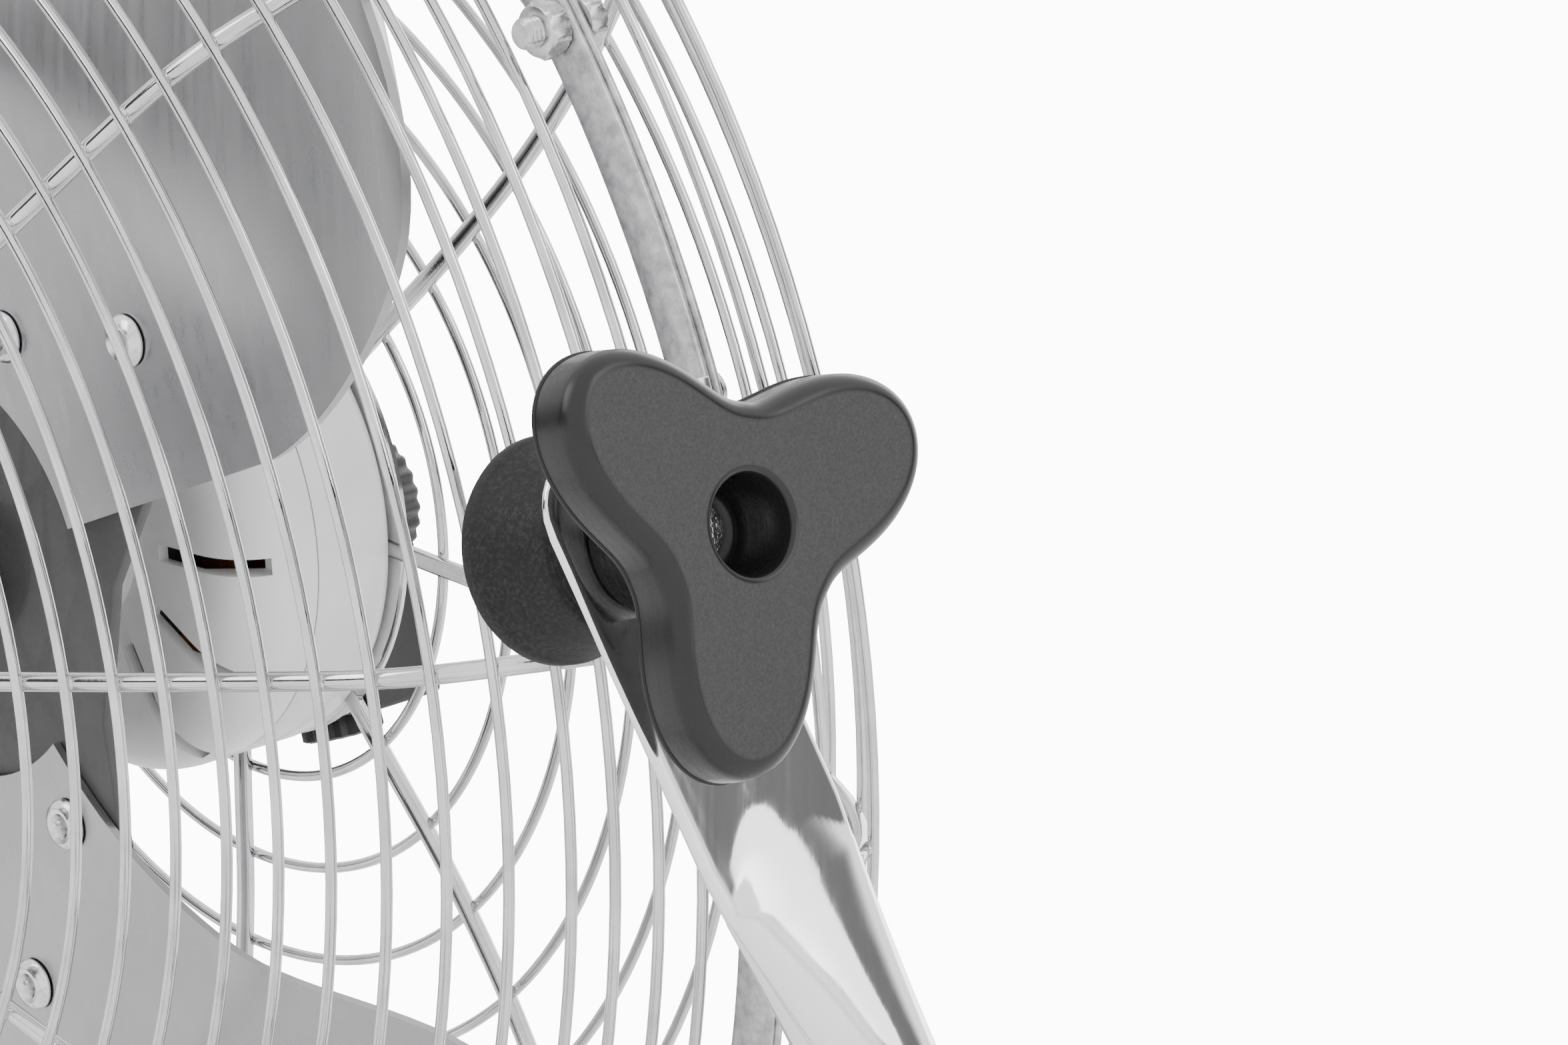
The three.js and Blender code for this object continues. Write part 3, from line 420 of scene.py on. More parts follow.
def guard_wires(name, line, ring_count, rib_count, rib_at, outward, rib_ends, face_gaps, face_share):
    """The welded wires of one guard, about the Y axis at the origin."""
    at = profile_at(line)
    gaps = ring_count - 1

    def station(i):
        if i < face_gaps:
            return i / face_gaps * face_share
        return face_share + (i - face_gaps) / (gaps - face_gaps) * (1 - face_share)

    rings = [at(station(i))[0] for i in range(ring_count)]
    hoops = new_piece(name + "_rings", [(0, p.y, 0) for p in rings], [])
    radii = hoops.data.attributes.new("ring_radius", "FLOAT", "POINT")
    radii.data.foreach_set("value", [p.x for p in rings])
    hoops = grown(name + "_rings", hoops, ring_tree, Wire=RING_WIRE / 2, Finish=chrome)

    lift = (RING_WIRE + RIB_WIRE) / 2 - 0.0006
    row, welds = [], []
    for i in range(2 * gaps + 1):
        p, along = at(station(i / 2))
        inside = Vector((-along.y, along.x)) * (1 if outward < 0 else -1)
        row.append(p + inside * lift)
        if i % 2 == 0:
            welds.append(p + inside * (RING_WIRE / 2 + 0.0001))
    row.insert(0, row[0] - Vector((rib_ends[0], 0)))
    row += [Vector(end) for end in rib_ends[1]]
    fine = []
    for k in range(len(row) - 1):  # rounded bends
        before, p, q, after = row[max(k - 1, 0)], row[k], row[k + 1], row[min(k + 2, len(row) - 1)]
        for j in range(4):
            t = j / 4
            square, cubic = 2 * before - 5 * p + 4 * q - after, 3 * p - before - 3 * q + after
            fine.append(0.5 * (2 * p + (q - before) * t + square * t**2 + cubic * t**3))
    fine.append(row[-1])
    turn = dict(Count=rib_count, Start=-radians(rib_at), Step=-2 * pi / rib_count, Finish=chrome)
    spoke = new_piece(
        name + "_rib", [(p.x, p.y, 0) for p in fine], [], [(i, i + 1) for i in range(len(fine) - 1)]
    )
    spokes = grown(name + "_ribs", spoke, rib_tree, Wire=RIB_WIRE / 2, **turn)
    nugget = new_piece(name + "_weld", [(p.x, p.y, 0) for p in welds], [])
    nuggets = grown(name + "_welds", nugget, weld_tree, Size=0.00125, **turn)
    return joined(name, hoops, spokes, nuggets)


def lathe(name, profile, segments=96, smooth=40, about=(0, 0, AXIS_Z), axis="Y", closed=False):
    """A turned body: (radius, place along the axis) pairs in metres, from axis to axis or closed."""
    verts = []
    for r, y in profile:
        for k in range(segments):
            a = 2 * pi * k / segments
            p = (r * cos(a), y, r * sin(a)) if axis == "Y" else (y, r * cos(a), r * sin(a))
            verts.append(Vector(p) + Vector(about))
    shape = new_piece(name, verts, bands(len(profile), segments, closed), smooth=smooth)
    cleaned = bmesh.new()
    cleaned.from_mesh(shape.data)
    bmesh.ops.dissolve_degenerate(cleaned, edges=cleaned.edges, dist=1e-6)
    cleaned.to_mesh(shape.data)
    cleaned.free()
    shaded(shape.data, smooth)
    return shape


LIE_END = RIM_Y - STRIP_T / 2 - RIB_WIRE / 2 + 0.0006
front_wires = guard_wires(
    "front_guard_wires", FRONT_LINE, 20, 10, 28, -1, (0.004, [(0.1925, LIE_END), (0.1990, LIE_END)]), 16,
    0.884
)
front_wires.data.transform(Matrix.Translation((0, 0, AXIS_Z)))
badge_ring = lathe(
    "badge_ring",
    [
        (0.030, -0.0092), (0.0362, -0.0092), (0.037, -0.0088), (0.037, -0.0076), (0.0366, -0.0072),
        (0.030, -0.0072)
    ],
    closed=True
)
badge_ring.data.materials.append(chrome)
front_wires = joined("front_guard_wires", front_wires, badge_ring)
done(front_wires, "head", "chrome", "front_guard")

# ---------------------------------------------------------------------------
# Rim strips
# Flat steel strip rolled into a hoop, one on each guard, plated to a mottled satin grey.
# The long edges are sheared, so they are darker and slightly rounded.
# ---------------------------------------------------------------------------
def rim_strip(name, middle):
    e, t, c = 0.00035, STRIP_T / 2, (RIM_IN + RIM_OUT) / 2
    rows = [
        (RIM_IN, middle + t - e), (RIM_IN, middle - t + e), (RIM_IN + e, middle - t),
        (c - 0.001, middle - t - 0.00025), (c + 0.001, middle - t - 0.00025), (RIM_OUT - e, middle - t),
        (RIM_OUT, middle - t + e), (RIM_OUT, middle + t - e),
        (RIM_OUT - e, middle + t), (RIM_IN + e, middle + t),
    ]
    return lathe(name, rows, segments=180, smooth=50, closed=True)


strip_plating = surface(
    "plated_strip", (0.30, 0.30, 0.31), (0.56, 0.56, 0.57), 0.36, 1.0, cloud=420, grain=1600, bump=0.35,
    depth=0.00012, spread=0.1
)
done(rim_strip("front_rim_strip", RIM_Y), "head", "chrome", "front_guard", finish=strip_plating)
REAR_RIM_Y = RIM_Y + STRIP_T + GAP
done(rim_strip("rear_rim_strip", REAR_RIM_Y), "head", "chrome", "rear_guard", finish=strip_plating)

# ---------------------------------------------------------------------------
# Rear guard and its motor plate
# Eight ribs with eleven rings, welded and chromed like the front, end on a pressed plate
# that the motor is screwed to.
# ---------------------------------------------------------------------------
REAR_LINE = (
    (52, 120.4), (80, 120.6), (110, 118), (140, 111.5), (165, 103.5), (184, 94), (194.5, 85), (198.5, 77.5),
    (199, 71)
)
rear_wires = guard_wires(
    "rear_guard_wires", REAR_LINE, 11, 8, 25, 1, (0.012, [(0.1985, 0.0650), (0.1993, REAR_RIM_Y)]), 5, 0.5
)
rear_wires.data.transform(Matrix.Translation((0, 0, AXIS_Z)))
done(rear_wires, "head", "chrome", "rear_guard")

PLATE_Y = 0.118
MOUNT_Y = PLATE_Y + 0.0023  # behind the plate's 2 mm and the gap
plate = lathe("motor_plate", [
    (0, PLATE_Y), (0.0432, PLATE_Y), (
        0.044, PLATE_Y + 0.0006
    ), (0.044, PLATE_Y + 0.0014), (0.0432, PLATE_Y + 0.002),
    (0.036, PLATE_Y + 0.002), (
        0.035, PLATE_Y + 0.0012
    ), (0.033, PLATE_Y + 0.0012), (0.032, PLATE_Y + 0.002), (0, PLATE_Y + 0.002),
])
done(plate, "head", "chrome", "rear_guard", finish=chrome)

# ---------------------------------------------------------------------------
# Badge
# A plain domed cap pressed from thin sheet and chromed, on the small ring in the middle of the front guard.
# ---------------------------------------------------------------------------
dome = [(0.0356 * sin(a), -0.0121 - 0.0044 * cos(a) ** 0.8) for a in [i * pi / 40 for i in range(0, 19)]]
badge = lathe(
    "front_badge", [*dome, (0.0354, -0.0121), (0.0356, -0.0118), (0.0345, -0.01095), (0, -0.01095)],
    segments=128, smooth=50
)
badge_chrome = surface(
    "brushed_badge", (0.66, 0.66, 0.67), (0.8, 0.8, 0.81), 0.2, 1.0, cloud=60, grain=260, bump=0.15,
    stretch=(1, 1, 14), spread=0.05
)
done(badge, "head", "chrome", "front_badge", finish=badge_chrome)

# ---------------------------------------------------------------------------
# Rim bolts and nuts
# Four M5 hexagon bolts from behind hold the two rim strips together, with plain chamfered nuts in front.
# Bright zinc plate, slightly cloudy, with the thread showing past each nut.
# ---------------------------------------------------------------------------
set_tree, given = new_tree("set_fasteners", Fastener=("Object", None), Finish=("Material", None))
fastener = add(set_tree, "GeometryNodeObjectInfo", {"Object": given["Fastener"]})
placed = add(
    set_tree, "GeometryNodeInstanceOnPoints",
    {"Points": given["Geometry"], "Instance": fastener.outputs["Geometry"]}
)
end_tree(set_tree, placed.outputs[0], given["Finish"])


def fasteners(name, spots, shape, finish):
    """One shape set at every spot, as a plain mesh. The shape itself goes."""
    many = grown(
        name, new_piece(name + "_spots", spots, []), set_tree, smooth=35, Fastener=shape, Finish=finish
    )
    bpy.data.objects.remove(shape)
    return many


def threaded(name, d, pitch, y0, y1, segments=36, chamfer=0.0006):
    """A screw thread along Y, closed at both ends, with its end at y0 chamfered."""
    steps = max(int((y1 - y0) / pitch * 5), 4)
    depth, verts = pitch * 0.5, []
    for i in range(steps + 1):
        y = y0 + (y1 - y0) * i / steps
        for k in range(segments):
            a = 2 * pi * k / segments
            ridge = abs(((y / pitch - a / (2 * pi)) % 1) * 2 - 1)
            r = min(d / 2 - depth * ridge, d / 2 - chamfer + (y - y0))
            verts.append((r * cos(a), y, r * sin(a)))
    ends = [tuple(range(segments)), tuple(range(steps * segments, (steps + 1) * segments))]
    return new_piece(name, verts, bands(steps + 1, segments) + ends)


def hexagon(name, flats, y0, y1, hole=0.0):
    """A hexagon nut or head along Y, chamfered at both ends, with a plain hole or a closed middle."""
    bevel, segments = 0.0006, 72
    profile = [
        (hole, y0), (flats * 0.47, y0), (flats * 0.5, y0 + bevel * 0.25), (flats, y0 + bevel),
        (flats, y1 - bevel), (flats * 0.5, y1 - bevel * 0.25), (flats * 0.47, y1), (hole, y1),
    ]
    verts = []
    for row, (limit, y) in enumerate(profile):
        for k in range(segments):
            a = 2 * pi * k / segments
            side = flats / 2 / cos((a + pi / 6) % (pi / 3) - pi / 6)
            r = limit if row in (0, 7) else min(side, limit)
            verts.append((r * cos(a), y, r * sin(a)))
    return new_piece(name, verts, bands(len(profile), segments, closed=bool(hole)), smooth=25)


def spots_at(radius, angles):
    """Places round the fan's axis, at angles in degrees."""
    return [(radius * cos(radians(a)), 0, AXIS_Z + radius * sin(radians(a))) for a in angles]


zinc = surface(
    "zinc_plate", (0.42, 0.42, 0.43), (0.66, 0.66, 0.67), 0.27, 1.0, cloud=300, grain=1300, bump=0.2,
    depth=0.00008, spread=0.09
)
BOLT_SPOTS = spots_at(0.1986, (20, 145, 200, 325))
NUT_Y = RIM_Y - STRIP_T / 2 - GAP
BACK_Y = REAR_RIM_Y + STRIP_T / 2 + GAP
nut = hexagon("rim_nut", 0.008, NUT_Y - 0.004, NUT_Y, hole=0.00235)
done(fasteners("rim_nuts", BOLT_SPOTS, nut, zinc), "head", "zinc", *(f"guard_nut_{i}" for i in range(1, 5)))
bolt = joined(
    "rim_bolt", threaded("rim_bolt_thread", 0.005, 0.0008, NUT_Y - 0.0070, BACK_Y + 0.0005),
    hexagon("rim_bolt_head", 0.008, BACK_Y, BACK_Y + 0.0034)
)
done(
    fasteners("rim_bolts", BOLT_SPOTS, bolt, zinc), "head", "zinc",
    *(f"guard_bolt_{i}" for i in range(1, 5))
)

# ---------------------------------------------------------------------------
# Tilt brackets
# Angle brackets pressed from 2.5 mm steel. The foot is riveted to the front rim strip on each side,
# and the round-ended tab carries the tilt stud.
# ---------------------------------------------------------------------------
def pressed(name, outline, place, thick, edge=0.0004):
    """A flat plate cut from an outline, thick along its third direction, with its edges broken."""
    count = len(outline)
    verts = [place(u, v, w) for w in (-thick / 2, thick / 2) for u, v in outline]
    faces = [tuple(range(count)), tuple(range(count, 2 * count))]
    faces += [(i, (i + 1) % count, (i + 1) % count + count, i + count) for i in range(count)]
    return rounded(new_piece(name, verts, faces, smooth=35), edge, corner=50, smooth=35)


def mirrored(thing, name):
    """A left-hand copy of a right-hand piece."""
    twin = linked(name, thing.data.copy())
    twin.data.transform(Matrix.Scale(-1, 4, (1, 0, 0)))
    twin.data.flip_normals()
    return twin


def pair(right, kind, slot, finish, bodies=("head", "head")):
    """Finishes a right-hand piece and its left-hand twin."""
    left = mirrored(right, kind + "_left")
    for thing, hand, body in zip((right, left), ("right", "left"), bodies):
        done(thing, body, slot, f"{kind}_{hand}", finish=finish)


TAB_X, TAB_R, TAB_T = 0.19795, 0.013, 0.0025
FOOT_Y = RIM_Y - STRIP_T / 2 - GAP
tab_outline = [(FOOT_Y - TAB_T * 0.6, -TAB_R), (FOOT_Y - TAB_T * 0.6, TAB_R)] + [
    (PIVOT_Y - TAB_R * sin(a), TAB_R * cos(a)) for a in [pi * i / 32 for i in range(33)]
]
tab = pressed(
    "tilt_bracket_right", tab_outline, lambda u, v, w: (TAB_X + w, u, PIVOT_Z + v), TAB_T, edge=0.0007
)
foot_outline = [(0.1994 + sx * 0.0042, sz * 0.0188) for sx, sz in ((-1, -1), (1, -1), (1, 1), (-1, 1))]
foot_plate = pressed(
    "bracket_foot", foot_outline, lambda u, v, w: (u, FOOT_Y - TAB_T / 2 + w, PIVOT_Z + v), TAB_T
)
bracket = joined("tilt_bracket_right", tab, foot_plate)
polished_steel = surface(
    "polished_bracket", (0.5, 0.5, 0.51), (0.74, 0.74, 0.75), 0.16, 1.0, cloud=160, grain=900, bump=0.15,
    spread=0.06
)
pair(bracket, "tilt_bracket", "zinc", polished_steel)

# ---------------------------------------------------------------------------
# Bracket rivets
# Two domed steel rivets through each bracket foot and both rim strips, set flat behind.
# ---------------------------------------------------------------------------
HEAD_Y, TAIL_Y = FOOT_Y - TAB_T - GAP, BACK_Y
rivet_line = [(0.0028 * sin(a), HEAD_Y - 0.0015 * cos(a)) for a in [i * pi / 16 for i in range(9)]]
rivet = lathe(
    "bracket_rivet",
    [
        *rivet_line, (0.002, HEAD_Y), (0.002, TAIL_Y), (0.0033, TAIL_Y), (0.0031, TAIL_Y + 0.0009),
        (0.002, TAIL_Y + 0.0013), (0, TAIL_Y + 0.0013)
    ],
    segments=32, about=(0, 0, 0)
)
rivet_spots = [(side * 0.198, 0, PIVOT_Z + up * 0.016) for side in (1, -1) for up in (1, -1)]
done(
    fasteners("bracket_rivets", rivet_spots, rivet, zinc), "head", "zinc",
    *(f"bracket_rivet_{e}_{u}" for e in ("right", "left") for u in ("upper", "lower"))
)

# ---------------------------------------------------------------------------
# Tilt studs
# M8 coach studs pushed out through the tabs, cut off square inside the knobs. Zinc plated, with sawn ends.
# ---------------------------------------------------------------------------
LEG_X, FLAT_T, KNOB_BOSS, KNOB_PLATE = 0.220, 0.0024, 0.0143, 0.0102
FACE_X = LEG_X + FLAT_T / 2 + GAP + KNOB_BOSS + KNOB_PLATE
SHOULDER_X = TAB_X - TAB_T / 2 - GAP
sawn = surface(
    "sawn_stud_end", (0.45, 0.45, 0.46), (0.95, 0.95, 0.95), 0.3, 1.0, cloud=700, grain=700, bump=0.9,
    depth=0.0006, spread=0.15
)
stud_core = threaded("tilt_stud_right", 0.008, 0.00125, SHOULDER_X, FACE_X - 0.011, segments=48, chamfer=0)
stud_core.data.transform(Matrix(((0, 1, 0, 0), (1, 0, 0, 0), (0, 0, 1, 0), (0, 0, 0, 1))))
stud_core.data.flip_normals()
stud_core.data.transform(Matrix.Translation((0, PIVOT_Y, PIVOT_Z)))
stud_cap = lathe(
    "stud_head",
    [
        (0, SHOULDER_X - 0.0035), (0.005, SHOULDER_X - 0.0033), (0.0062, SHOULDER_X - 0.002),
        (0.0062, SHOULDER_X), (0, SHOULDER_X)
    ],
    segments=48, about=(0, PIVOT_Y, PIVOT_Z), axis="X"
)
stud_end = lathe(
    "stud_end",
    [
        (0, FACE_X - 0.0113), (0.0038, FACE_X - 0.0113), (0.0038, FACE_X - 0.0112),
        (0.0032, FACE_X - 0.0108), (0, FACE_X - 0.0108)
    ],
    segments=48, about=(0, PIVOT_Y, PIVOT_Z), axis="X"
)
stud = joined("tilt_stud_right", stud_core, stud_cap, stud_end)
pair(stud, "tilt_stud", "zinc", sawn)

# ---------------------------------------------------------------------------
# Rubber cones
# Turned rubber spacers between tab and leg: a wide rim, a cone, and a small raised face by the leg.
# The turning tool leaves fine rings and a dry, dusty skin.
# ---------------------------------------------------------------------------
CONE_X = TAB_X + TAB_T / 2 + GAP
cone_line = [
    (0.0043, 0), (0.0158, 0), (
        0.0166, 0.0003
    ), (0.017, 0.0010), (0.017, 0.0030), (0.0167, 0.0037), (0.0161, 0.0050),
    (
        0.0152, 0.0078
    ), (0.0142, 0.0110), (0.0136, 0.0132), (0.0133, 0.0146), (0.0128, 0.0152), (0.0110, 0.0158),
    (0.0106, 0.0166), (0.0104, 0.0184), (0.0100, 0.019), (0.0043, 0.019),
]
cone = lathe(
    "rubber_cone_right", [(r, CONE_X + x) for r, x in cone_line], about=(0, PIVOT_Y, PIVOT_Z), axis="X",
    closed=True, smooth=60
)


def turned_rubber():
    finish = bpy.data.materials.new("turned_rubber")
    tree = nodes_of(finish)
    place = add(tree, "ShaderNodeTexCoord").outputs["Object"]
    about = add(tree, "ShaderNodeMapping", {"Vector": place, "Location": (0, CENTRE_Y - PIVOT_Y, -PIVOT_Z)})
    rings = add(
        tree, "ShaderNodeTexWave",
        {"Vector": about.outputs[0], "Scale": 420.0, "Distortion": 1.4, "Detail": 3.0, "Detail Scale": 1.5},
        wave_type="RINGS", rings_direction="X"
    )
    dust = add(
        tree, "ShaderNodeTexNoise", {"Vector": place, "Scale": 1500.0, "Detail": 4.0, "Roughness": 0.7}
    )
    patch = add(tree, "ShaderNodeTexNoise", {"Vector": place, "Scale": 140.0, "Detail": 3.0})
    relief = add(
        tree, "ShaderNodeMath", {0: rings.outputs["Fac"], 1: 0.5, 2: dust.outputs["Fac"]},
        operation="MULTIPLY_ADD"
    )
    tint = add(
        tree, "ShaderNodeMapRange", {"Value": dust.outputs["Fac"], "From Min": 0.45, "From Max": 0.75}
    )
    both = add(tree, "ShaderNodeMath", {0: tint.outputs[0], 1: patch.outputs["Fac"]}, operation="MULTIPLY")
    colour = add(
        tree, "ShaderNodeMix",
        {"Factor": both.outputs[0], "A": (0.009, 0.009, 0.009, 1), "B": (0.06, 0.06, 0.06, 1)},
        data_type="RGBA"
    )
    gloss = add(tree, "ShaderNodeMapRange", {"Value": dust.outputs["Fac"], "To Min": 0.45, "To Max": 0.75})
    bumps = add(tree, "ShaderNodeBump", {"Height": relief.outputs[0], "Strength": 0.5, "Distance": 0.00015})
    shader = add(
        tree, "ShaderNodeBsdfPrincipled",
        {
            "Base Color": colour.outputs["Result"], "Roughness": gloss.outputs[0],
            "Normal": bumps.outputs[0], "Specular IOR Level": 0.2
        }
    )
    add(tree, "ShaderNodeOutputMaterial", {"Surface": shader.outputs["BSDF"]})
    return finish


pair(cone, "rubber_cone", "rubber", turned_rubber())

# ---------------------------------------------------------------------------
# Tilt knobs
# Three-lobed knobs moulded in black plastic: a fine-grained matte face, glossy rounded edges and sides,
# a boss behind, and a deep counterbore in which the stud's end shows.
# ---------------------------------------------------------------------------
KNOB_R, VALLEY_R, HOLE_R, LOBE_AT = 0.0365, 0.018, 0.0074, radians(13)
PLATE_X = FACE_X - KNOB_PLATE
KNOB_POINTS = 240


def lobe_outline(inset):
    """The lobed outline moved in by an inset, as (along Y, along Z) about the pivot."""
    ring = []
    for i in range(KNOB_POINTS):
        a = 2 * pi * i / KNOB_POINTS
        r = VALLEY_R + (KNOB_R - VALLEY_R) * ((1 + cos(3 * (a - LOBE_AT))) / 2) ** 1.25
        ring.append(Vector((r * cos(a), r * sin(a))))
    moved = []
    for i, p in enumerate(ring):
        t = (ring[(i + 1) % KNOB_POINTS] - ring[i - 1]).normalized()
        moved.append(p - Vector((t.y, -t.x)) * inset)
    return moved


def round_outline(radius):
    return [
        Vector(
            (radius * cos(2 * pi * i / KNOB_POINTS), radius * sin(2 * pi * i / KNOB_POINTS))
        ) for i in range(KNOB_POINTS)
    ]


def between(a, b, t):
    return [p.lerp(q, t) for p, q in zip(a, b)]


EDGE, BACK_EDGE = 0.0033, 0.0012
rows = [
    (PLATE_X - KNOB_BOSS, round_outline(0.0043)), (PLATE_X - KNOB_BOSS, round_outline(0.0102)),
    (PLATE_X - KNOB_BOSS + 0.0008, round_outline(0.0110)),
    (PLATE_X - 0.0012, round_outline(0.0117)), (PLATE_X, round_outline(0.0130)),
]
rows += [
    (PLATE_X, between(round_outline(0.0130), lobe_outline(BACK_EDGE + 0.0004), t)) for t in (0.33, 0.66)
]
rows += [(PLATE_X, lobe_outline(BACK_EDGE + 0.0004))]
# the parting line stands a little proud behind the rounded back edge
rows += [
    (
        PLATE_X + BACK_EDGE * (1 - cos(a)), lobe_outline(BACK_EDGE * (1 - sin(a)) + 0.0003)
    ) for a in (0.5, 1.0, 1.4)
]
rows += [
    (PLATE_X + 0.0013, lobe_outline(-0.00018)), (PLATE_X + 0.00155, lobe_outline(-0.00018)),
    (PLATE_X + 0.0017, lobe_outline(0.0001))
]
rows += [(PLATE_X + 0.0045, lobe_outline(0.0)), (FACE_X - EDGE, lobe_outline(0.0001))]
rows += [
    (
        FACE_X - EDGE * (1 - sin(a)), lobe_outline(EDGE * (1 - cos(a)) + 0.0001)
    ) for a in [i * pi / 20 for i in range(1, 10)]
]
face_edge = lobe_outline(EDGE + 0.0003)
rows += [(FACE_X, face_edge)]
rows += [
    (FACE_X, between(face_edge, round_outline(HOLE_R + 0.0014), t)) for t in (0.06, 0.3, 0.6, 0.85, 1.0)
]
rows += [
    (
        FACE_X - 0.0009 * (1 - cos(a)), round_outline(HOLE_R + 0.0009 * (1 - sin(a)))
    ) for a in (0.3, 0.7, 1.1, 1.5)
]
rows += [
    (FACE_X - 0.005, round_outline(HOLE_R - 0.0001)), (FACE_X - 0.0118, round_outline(HOLE_R - 0.0003)),
    (FACE_X - 0.013, round_outline(HOLE_R - 0.0014)), (FACE_X - 0.013, round_outline(0.0043))
]
knob_verts = [(x, PIVOT_Y + p.x, PIVOT_Z + p.y) for x, ring in rows for p in ring]
knob = new_piece("tilt_knob_right", knob_verts, bands(len(rows), KNOB_POINTS, closed=True), smooth=50)


def moulded_knob():
    finish = bpy.data.materials.new("moulded_knob")
    tree = nodes_of(finish)
    spot = add(tree, "ShaderNodeTexCoord")
    place, facing = spot.outputs["Object"], add(
        tree, "ShaderNodeSeparateXYZ", {"Vector": spot.outputs["Normal"]}
    ).outputs["X"]
    out = add(tree, "ShaderNodeMath", {0: facing}, operation="ABSOLUTE")
    face = add(tree, "ShaderNodeMapRange", {"Value": out.outputs[0], "From Min": 0.985, "From Max": 0.998})
    grain = add(
        tree, "ShaderNodeTexNoise", {"Vector": place, "Scale": 2600.0, "Detail": 3.0, "Roughness": 0.6}
    )
    streak = add(tree, "ShaderNodeMapping", {"Vector": place, "Scale": (12, 1, 1)})
    scuff = add(tree, "ShaderNodeTexNoise", {"Vector": streak.outputs[0], "Scale": 120.0, "Detail": 4.0})
    tone = add(tree, "ShaderNodeMath", {0: grain.outputs["Fac"], 1: face.outputs[0]}, operation="MULTIPLY")
    colour = add(
        tree, "ShaderNodeMix",
        {"Factor": tone.outputs[0], "A": (0.012, 0.012, 0.012, 1), "B": (0.06, 0.06, 0.061, 1)},
        data_type="RGBA"
    )
    side = add(
        tree, "ShaderNodeMapRange",
        {"Value": scuff.outputs["Fac"], "From Min": 0.35, "From Max": 0.7, "To Min": 0.2, "To Max": 0.34}
    )
    gloss = add(
        tree, "ShaderNodeMix", {"Factor": face.outputs[0], "A": side.outputs[0], "B": 0.52},
        data_type="FLOAT"
    )
    rise = add(tree, "ShaderNodeMath", {0: face.outputs[0], 1: 0.34, 2: 0.04}, operation="MULTIPLY_ADD")
    bumps = add(
        tree, "ShaderNodeBump",
        {"Height": grain.outputs["Fac"], "Strength": rise.outputs[0], "Distance": 0.0001}
    )
    shader = add(
        tree, "ShaderNodeBsdfPrincipled",
        {
            "Base Color": colour.outputs["Result"], "Roughness": gloss.outputs[0],
            "Normal": bumps.outputs[0], "Specular IOR Level": 0.32
        }
    )
    add(tree, "ShaderNodeOutputMaterial", {"Surface": shader.outputs["BSDF"]})
    return finish


pair(knob, "tilt_knob", "black_plastic", moulded_knob(), bodies=("knob_right", "knob_left"))

# ---------------------------------------------------------------------------
# Stand tube
# One 19 mm steel tube, chromed after bending: pressed flat at the pivots, opening through a pointed arch
# into the round leg, then along the floor and across the front.
# ---------------------------------------------------------------------------
TUBE_D, RUNNER_X, BEND_R, FRONT_BAR_Y, TUBE_Z, END_PAST = 0.019, 0.220, 0.036, -0.132, 0.0155, 0.016
SLANT = radians(31)
STAND = Matrix.Translation((0, -CENTRE_Y, 0))
SIDES = 56
down_leg = Vector((0, sin(SLANT), -cos(SLANT)))
leg_pivot = Vector((LEG_X, PIVOT_Y, PIVOT_Z))
heel = leg_pivot + down_leg * ((PIVOT_Z - TUBE_Z) / cos(SLANT))
heel.x = RUNNER_X
toe = Vector((RUNNER_X, FRONT_BAR_Y, TUBE_Z))
SPADE = (
    (9, 29, 2.4), (59, 29, 2.4), (65, 29, 4.2), (73, 27.4, 7.6), (85, 24.4, 12), (99, 21.2, 16.4),
    (113, 19, 19)
)


def eased(value, start, end):
    t = min(max((value - start) / (end - start), 0), 1)
    return t * t * (3 - 2 * t)


def spade_size(s):
    """Width and thickness of the pressed end at a distance in mm from its tip."""
    if s < 9:
        return 0.014 + 0.015 * sqrt(1 - ((9 - s) / 9) ** 2), FLAT_T
    for (s0, w0, t0), (s1, w1, t1) in zip(SPADE, SPADE[1:]):
        if s <= s1:
            f = (s - s0) / (s1 - s0)
            return (w0 + (w1 - w0) * f) / 1000, (t0 + (t1 - t0) * f) / 1000
    return TUBE_D, TUBE_D


def corner_points(start, at, end, radius):
    """Points round a bend in the tube, from one straight to the next."""
    steps = 16
    a, b = (start - at).normalized(), (end - at).normalized()
    half = a.angle(b) / 2
    centre = at + (a + b).normalized() * radius / sin(half)
    p0, p1 = at + a * radius / tan_of(half) - centre, at + b * radius / tan_of(half) - centre
    turn = p0.cross(p1).normalized()
    sweep = p0.angle(p1)
    return [Matrix.Rotation(sweep * i / steps, 3, turn) @ p0 + centre for i in range(steps + 1)]


def tan_of(angle):
    return sin(angle) / cos(angle)


